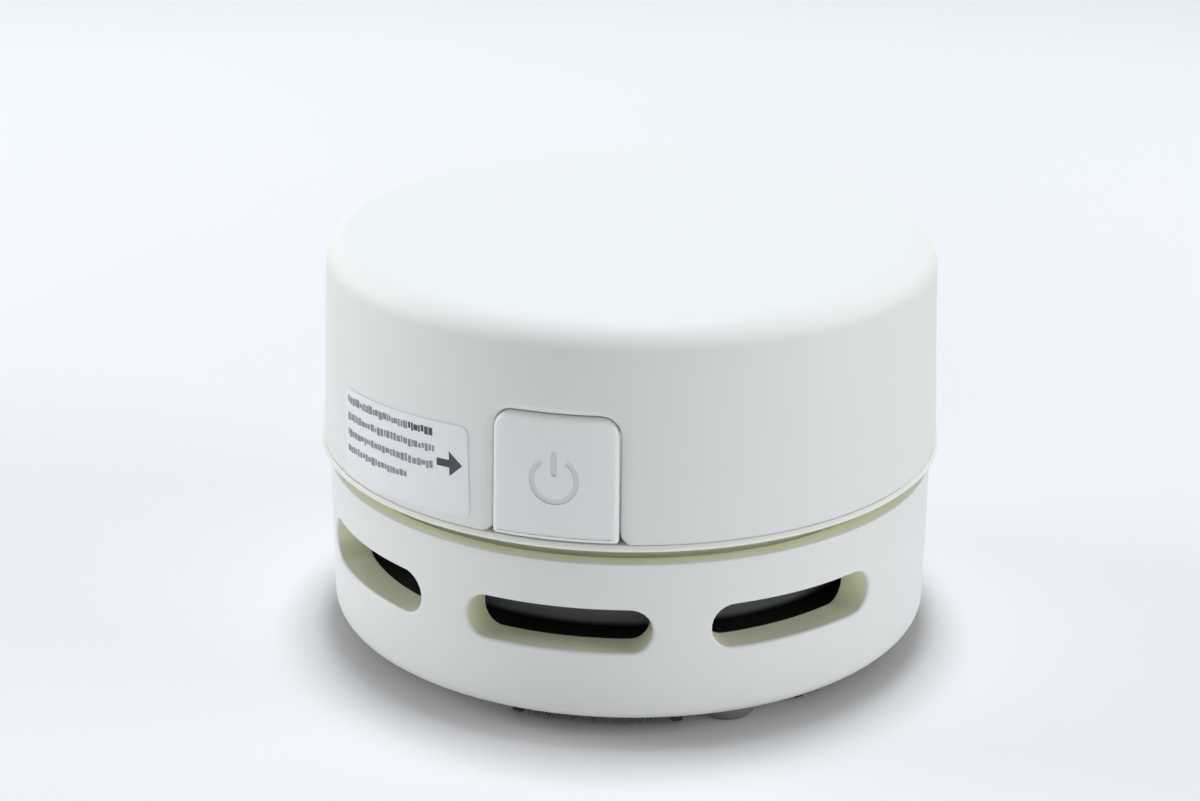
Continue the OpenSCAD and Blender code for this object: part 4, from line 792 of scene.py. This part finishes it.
def buildButton():
    button = buttonSize
    front = coverSize["radius"] + button["proud"]
    bm = bmesh.new()
    outline = roundedOutline(button["half"], button["low"], button["top"], button["corner"], button["foot"])
    addPlate(bm, outline, front, -button["thick"])
    edges = [e for e in bm.edges if all(abs(v.co.z - front) < 1e-4 for v in e.verts)]
    bmesh.ops.bevel(bm, geom=edges, offset=button["round"], segments=6, profile=0.5, affect="EDGES",
                    material=-1)
    bmesh.ops.recalc_face_normals(bm, faces=bm.faces)

    sign = bmesh.new()
    floor, line = front - button["signDepth"], button["signLine"]
    gap = math.radians(button["signGap"])
    mid = Vector((0, button["signMid"], 0))
    big, small = button["signR"], button["signR"] - line
    ends = [sign.verts.new((r * math.sin(gap), mid.y + r * math.cos(gap), z))
            for r, z in ((small, floor), (big, floor), (big, front + 1), (small, front + 1))]
    start = sign.faces.new(ends)
    made = bmesh.ops.spin(sign, geom=ends + list(start.edges), cent=mid, axis=(0, 0, -1),
                          angle=full - 2 * gap, steps=64)
    capEnd(sign, made)
    tipR = line / 2 - 0.01
    outline = roundedOutline(line / 2, *button["signStroke"], tipR, tipR, 5)
    addPlate(sign, outline, floor, button["signDepth"] + 1)
    bmesh.ops.recalc_face_normals(sign, faces=sign.faces)
    bm = cutOut(bm, sign)
    slicedAcross(bm, -8.0, 8.0, 0.8)
    rollUp(bm.verts, coverSize["radius"], coverRadius)
    addBlocks(bm, button["blocks"])
    finishPiece(bm, "powerButton", "button", "power_button", "buttonPlastic")


buildButton()
print("button ready")


# Label: a thin film with plain bars where lines stand, and an arrow that points to the button

labelSize = dict(middle=(-24.2, 34.75), half=(12.5, 6.0), corner=1.1, lift=0.03, thick=0.05, tilt=2.6,
                 sliceFrom=-37.0, sliceTo=-11.0, sliceStep=0.8, inkThick=0.02,
                 rowPitch=2.25, rowTop=4.5, rowHeight=1.0, rowStart=0.9, rowEnds=(7.0, 7.2, 7.2, 2.2),
                 boldFrom=2.0,
                 arrowTip=11.6, arrowNeck=9.6, arrowBack=7.6, arrowWing=1.65, arrowShaft=0.5, arrowRise=0.7)


def layOnCover(bm):
    label = labelSize
    turnedBy(bm.verts, bm, label["tilt"])
    bmesh.ops.translate(bm, vec=(*label["middle"], 0), verts=bm.verts)
    slicedAcross(bm, label["sliceFrom"], label["sliceTo"], label["sliceStep"])
    rollUp(bm.verts, coverSize["radius"], coverRadius)


def buildLabel():
    label = labelSize
    wide, tall = label["half"]
    back = coverSize["radius"] + label["lift"]
    front = back + label["thick"]
    bm = bmesh.new()
    addPlate(bm, roundedOutline(wide, -tall, tall, label["corner"], label["corner"]), back, label["thick"])
    layOnCover(bm)
    finishPiece(bm, "labelFilm", "cover", "cover_label", "labelFilm")

    random.seed(11)
    pale, dark = bmesh.new(), bmesh.new()
    for row, end in enumerate(label["rowEnds"]):
        middle = label["rowTop"] - row * label["rowPitch"]
        along = label["rowStart"] - wide
        while along < end - 0.3:
            length = min(random.uniform(0.25, 0.85), end - along)
            tallness = label["rowHeight"] * random.uniform(0.6, 1.1)
            bm = dark if row == 0 and along > label["boldFrom"] else pale
            verts = bmesh.ops.create_cube(bm, size=1.0)["verts"]
            bmesh.ops.scale(bm, vec=(length, tallness, label["inkThick"]), verts=verts)
            bmesh.ops.translate(bm, vec=(along + length / 2, middle + random.uniform(-0.1, 0.1),
                                         front + label["inkThick"] / 2), verts=verts)
            along += length + random.uniform(0.1, 0.2)
    tip, neck, tail = label["arrowTip"], label["arrowNeck"], label["arrowBack"]
    wing, shaft = label["arrowWing"], label["arrowShaft"]
    arrow = [(tail, -shaft), (neck, -shaft), (neck, -wing), (tip, 0), (neck, wing), (neck, shaft),
             (tail, shaft)]
    addPlate(dark, [(x, z + label["arrowRise"]) for x, z in arrow], front, label["inkThick"])
    bmesh.ops.triangulate(dark, faces=[f for f in dark.faces if len(f.verts) > 4])
    for bm, name, finish in ((pale, "labelLines", "paleInk"), (dark, "labelArrow", "darkInk")):
        layOnCover(bm)
        finishPiece(bm, name, "cover", None, finish)


buildLabel()
print("label ready")


# Springs: a round wire drawn along a helix, then narrowed towards one end

springSizes = {      # node, radius at both ends, length, wire, turns, place, tip round X, turn round Z
    "buttonSpring": ("button_spring", 3.29, 3.29, 5.11, 0.5, 2.5, (0, -35.59, 36.1), 90, 0),
    "cellSpringRight": ("cell_spring_right", 4.2, 2.6, 3.8, 0.6, 2.0, (16, -27.3, 37.45), -90, 0),
    "cellSpringLeft": ("cell_spring_left", 4.2, 2.6, 3.8, 0.6, 2.0, (16, -27.3, 37.45), -90, 180),
}


def springMesh(radiusFrom, radiusTo, length, wire, turns, sides=10, perTurn=28):
    bm = bmesh.new()
    rise = length - wire
    ring = bmesh.ops.create_circle(bm, cap_ends=False, radius=wire / 2, segments=sides,
                                   matrix=Matrix.Rotation(full / 4, 4, "X"))["verts"]
    bmesh.ops.translate(bm, vec=(1, 0, 0), verts=ring)
    rows = turns + 1.5      # with three quarters of a flat turn at both ends
    count = int(rows * perTurn)
    turnStep = Matrix.Rotation(full / perTurn, 3, "Z")
    edges = first = linesOf(ring)
    for i in range(1, count + 1):
        part = i / count * rows
        edges = growRow(bm, edges, lambda co: turnStep @ co)
        lift = min(max((part - 0.75) / turns, 0), 1) - min(max((part - 0.75 - rows / count) / turns, 0), 1)
        bmesh.ops.translate(bm, vec=(0, 0, rise * lift), verts=pointsOf(edges))
    for row in (first, edges):
        bmesh.ops.contextual_create(bm, geom=row)
    for vert in bm.verts:
        share = min(max(vert.co.z / rise, 0), 1)
        wanted = radiusFrom + (radiusTo - radiusFrom) * share + vert.co.xy.length - 1
        vert.co = ringPoint(vert.co, wanted, vert.co.z + wire / 2)
    return bm


def buildSprings():
    for name, (node, *coil, spot, tip, turn) in springSizes.items():
        bm = springMesh(*coil)
        matrix = (Matrix.Rotation(math.radians(turn), 4, "Z") @ Matrix.Translation(spot)
                  @ Matrix.Rotation(math.radians(tip), 4, "X"))
        bmesh.ops.transform(bm, matrix=matrix, verts=bm.verts)
        spring = finishPiece(bm, name, "housing", node, "springSteel")
        if name == "buttonSpring":
            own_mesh(spring)


buildSprings()
print("springs ready")


# Leads: a smooth insulated wire through a few points, with tinned ends

leadRoutes = {
    "leadBattery": ("lead_battery", "leadRed", "lead_red",
                    [(-11.5, -26.7, 43.95), (-8, -25, 45.95), (-5.5, -24.5, 43.1), (-2.5, -25.74, 41.1)]),
    "leadSwitch": ("lead_switch", "leadRed", "lead_red",
                   [(2.5, -25.74, 41.1), (3.4, -25.5, 44.1), (4.4, -20, 47.1), (4.6, -12.45, 51.95),
                    (4.6, -11.05, 50.6)]),
    "leadReturn": ("lead_return", "leadBlack", "lead_black",
                   [(11.5, -26.7, 43.95), (8, -24, 48.95), (2, -19, 51.35), (-3.5, -15.5, 52.75),
                    (-4.6, -11.05, 50.6)]),
}
leadSize = dict(insulation=0.55, bare=0.32, solder=0.62)


def smoothRoute(points, steps):
    route = []
    count = len(points)
    for i in range(count - 1):
        a, b, c, d = (Vector(points[max(min(j, count - 1), 0)]) for j in (i - 1, i, i + 1, i + 2))
        for k in range(steps):
            t = k / steps
            route.append(0.5 * (2 * b + (c - a) * t + (2 * a - 5 * b + 4 * c - d) * t * t
                                + (3 * b - a - 3 * c + d) * t ** 3))
    route.append(Vector(points[-1]))
    return route


def addTube(bm, route, radius, sides=12):
    row, frameX = None, Vector((0, 0, 1))
    for i, point in enumerate(route):
        ahead = route[min(i + 1, len(route) - 1)] - route[max(i - 1, 0)]
        ahead.normalize()
        frameX = (frameX - ahead * frameX.dot(ahead)).normalized()
        wide = radius[i] if isinstance(radius, list) else radius
        matrix = Matrix((frameX, ahead.cross(frameX), ahead)).transposed().to_4x4()
        matrix.translation = point
        if row is None:
            ring = bmesh.ops.create_circle(bm, cap_ends=False, radius=wide, segments=sides,
                                           matrix=matrix)["verts"]
            row = linesOf(ring)
            bmesh.ops.contextual_create(bm, geom=row)
        else:
            move = matrix @ Matrix.Scale(wide / last, 4) @ before.inverted()
            row = growRow(bm, row, lambda co: move @ co)
        before, last = matrix, wide
    bmesh.ops.contextual_create(bm, geom=row)


def buildLeads():
    for name, (node, finish, slot, points) in leadRoutes.items():
        route = smoothRoute(points, 10)
        bm = bmesh.new()
        addTube(bm, route[2:-2], leadSize["insulation"])
        finishPiece(bm, name, "housing", node, finish)
        bm = bmesh.new()
        for bare in (route[:4], route[-4:]):
            addTube(bm, bare, leadSize["bare"], 8)
        for end in (route[0], route[-1]):
            blob = bmesh.ops.create_icosphere(bm, subdivisions=2, radius=leadSize["solder"])["verts"]
            bmesh.ops.scale(bm, vec=(1.15, 1.0, 0.75), verts=blob)
            bmesh.ops.translate(bm, vec=end, verts=blob)
        finishPiece(bm, name + "Ends", "housing", None, "solderTin")


buildLeads()
print("leads ready")


# Brush strips: a curved backing with tufts of strands that lean a little at random, and a stop at both ends

brushSize = dict(ring=36.35, width=2.4, angle=32.0, top=3.9, back=0.9, low=0.35, first=6.5, rows=4, columns=26,
                 strands=3, radii=[0.085, 0.08, 0.045], stop=1.5, stopLow=0.5, stopEdge=0.3)


def shaken(reach):
    return Vector((random.uniform(-reach, reach), random.uniform(-reach, reach), 0))


def buildBrushes():
    brush = brushSize
    ring, half, angle = brush["ring"], brush["width"] / 2, brush["angle"]
    low, high = brush["top"] - brush["back"], brush["top"]
    for i in range(6):
        random.seed(40 + i)
        middle = brush["first"] + 60 * i
        bm = bmesh.new()
        addTurned(bm, [(ring - half, low), (ring + half, low), (ring + half, high), (ring - half, high)],
                  math.radians(angle), 24, math.radians(middle - angle / 2))
        for row in range(brush["rows"]):
            for column in range(brush["columns"]):
                share = column / (brush["columns"] - 1) - 0.5
                turn = math.radians(middle + share * (angle - 1.6) + random.uniform(-0.25, 0.25))
                away = ring + (row / (brush["rows"] - 1) - 0.5) * (brush["width"] - 0.7)
                root = Vector((away * math.sin(turn), -away * math.cos(turn), low + 0.3))
                lean = shaken(0.28)
                tip = root + lean
                tip.z = brush["low"] + random.uniform(0, 0.18)
                bent = root.lerp(tip, 0.55) - lean * 0.2
                for strand in range(brush["strands"]):
                    spread = shaken(0.13)
                    addTube(bm, [root + spread * 0.6, bent + spread, tip + spread * 1.6], brush["radii"], 5)
        finishPiece(bm, f"brushStrip{i + 1}", "cup", f"brush_{i + 1}", "bristleNylon")
        bm = bmesh.new()
        for side in (-1, 1):
            verts = addBlock(bm, (-brush["stop"] / 2, -ring - half, brush["stopLow"]),
                             (brush["stop"] / 2, half - ring, low), brush["stopEdge"])
            turnedBy(verts, bm, middle + side * (angle / 2 + 0.3))
        finishPiece(bm, f"brushStops{i + 1}", "cup", None, "stopRubber")


buildBrushes()
print("brushes ready")


# Hard pieces whose form is right: a copy with softened edges, named after its node

softEdge = dict(merge=0.0015, flat=0.4, angle=34.0, segments=2)
softPieces = {      # body, slot, finish and width of the edge
    "middle_frame": ("housing", "white_plastic", "framePlastic", 0.12),
    "battery_tray": ("housing", "white_plastic", "innerPlastic", 0.15),
    "battery_left": ("housing", "cell_skin", "cellLeft", 0.35),
    "battery_right": ("housing", "cell_skin", "cellRight", 0.35),
    "contact_plus": ("housing", "contact_plate", "contactNickel", 0.06),
    "contact_minus": ("housing", "contact_plate", "contactNickel", 0.06),
    "contact_bridge": ("housing", "contact_plate", "contactNickel", 0.06),
    "motor_can": ("housing", "motor_steel", "motorSteel", 0.2),
    "motor_end": ("housing", "motor_plastic", "motorPlastic", 0.15),
    "motor_magnets": ("housing", "magnet", "magnetFerrite", 0.12),
    "motor_bushes": ("housing", "bronze", "bushBronze", 0.1),
    "motor_brushes": ("housing", "carbon", "brushCarbon", 0.08),
    "motor_armature": ("rotor", "core_steel", "coreSteel", 0.12),
    "motor_commutator": ("rotor", "copper", "commutatorCopper", 0.08),
    "motor_shaft": ("rotor", "shaft_steel", "shaftSteel", 0.15),
    "motor_terminals": ("housing", "contact_plate", "contactNickel", 0.05),
    "fan_wheel": ("rotor", "fan_plastic", "fanPlastic", 0.12),
    "switch_case": ("housing", "switch_plastic", "switchPlastic", 0.15),
    "switch_plunger": ("plunger", "switch_plastic", "plungerPlastic", 0.12),
    "fan_case": ("housing", "dark_plastic", "darkPlastic", 0.12),
    "case_screws": ("housing", "screw_steel", "screwSteel", 0.1),
    "tray_screws": ("housing", "screw_steel", "screwSteel", 0.1),
    "motor_screws": ("housing", "screw_steel", "screwSteel", 0.08),
    "base_plate": ("cup", "white_plastic", "basePlastic", 0.15),
    "filter_seal": ("cup", "soft_rubber", "sealRubber", 0.1),
    "filter_frame": ("cup", "dark_plastic", "filterRim", 0.12),
    "filter_mesh": ("cup", "filter_cloth", "filterCloth", 0.08),
    "base_screws": ("cup", "screw_steel", "screwSteel", 0.1),
    "glide_feet": ("cup", "soft_rubber", "footRubber", 0.2),
}


def softened(node, width):
    bm = bmesh.new()
    bm.from_mesh(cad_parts[node].data)
    bmesh.ops.scale(bm, vec=(1000, 1000, 1000), verts=bm.verts)
    bmesh.ops.remove_doubles(bm, verts=bm.verts, dist=softEdge["merge"])
    bmesh.ops.dissolve_limit(bm, angle_limit=math.radians(softEdge["flat"]), verts=bm.verts, edges=bm.edges)
    edges = [edge for edge in bm.edges if len(edge.link_faces) == 2
             and edge.calc_face_angle(0.0) > math.radians(softEdge["angle"])]
    bmesh.ops.bevel(bm, geom=edges, offset=width, segments=softEdge["segments"], profile=0.5, affect="EDGES",
                    clamp_overlap=True, material=-1)
    return bm


def buildSoftPieces():
    for node, (body, slot, finish, width) in softPieces.items():
        first, *rest = node.split("_")
        name = first + "".join(word.title() for word in rest)
        finishPiece(softened(node, width), name, body, node, finish)


buildSoftPieces()
print("hard pieces ready")
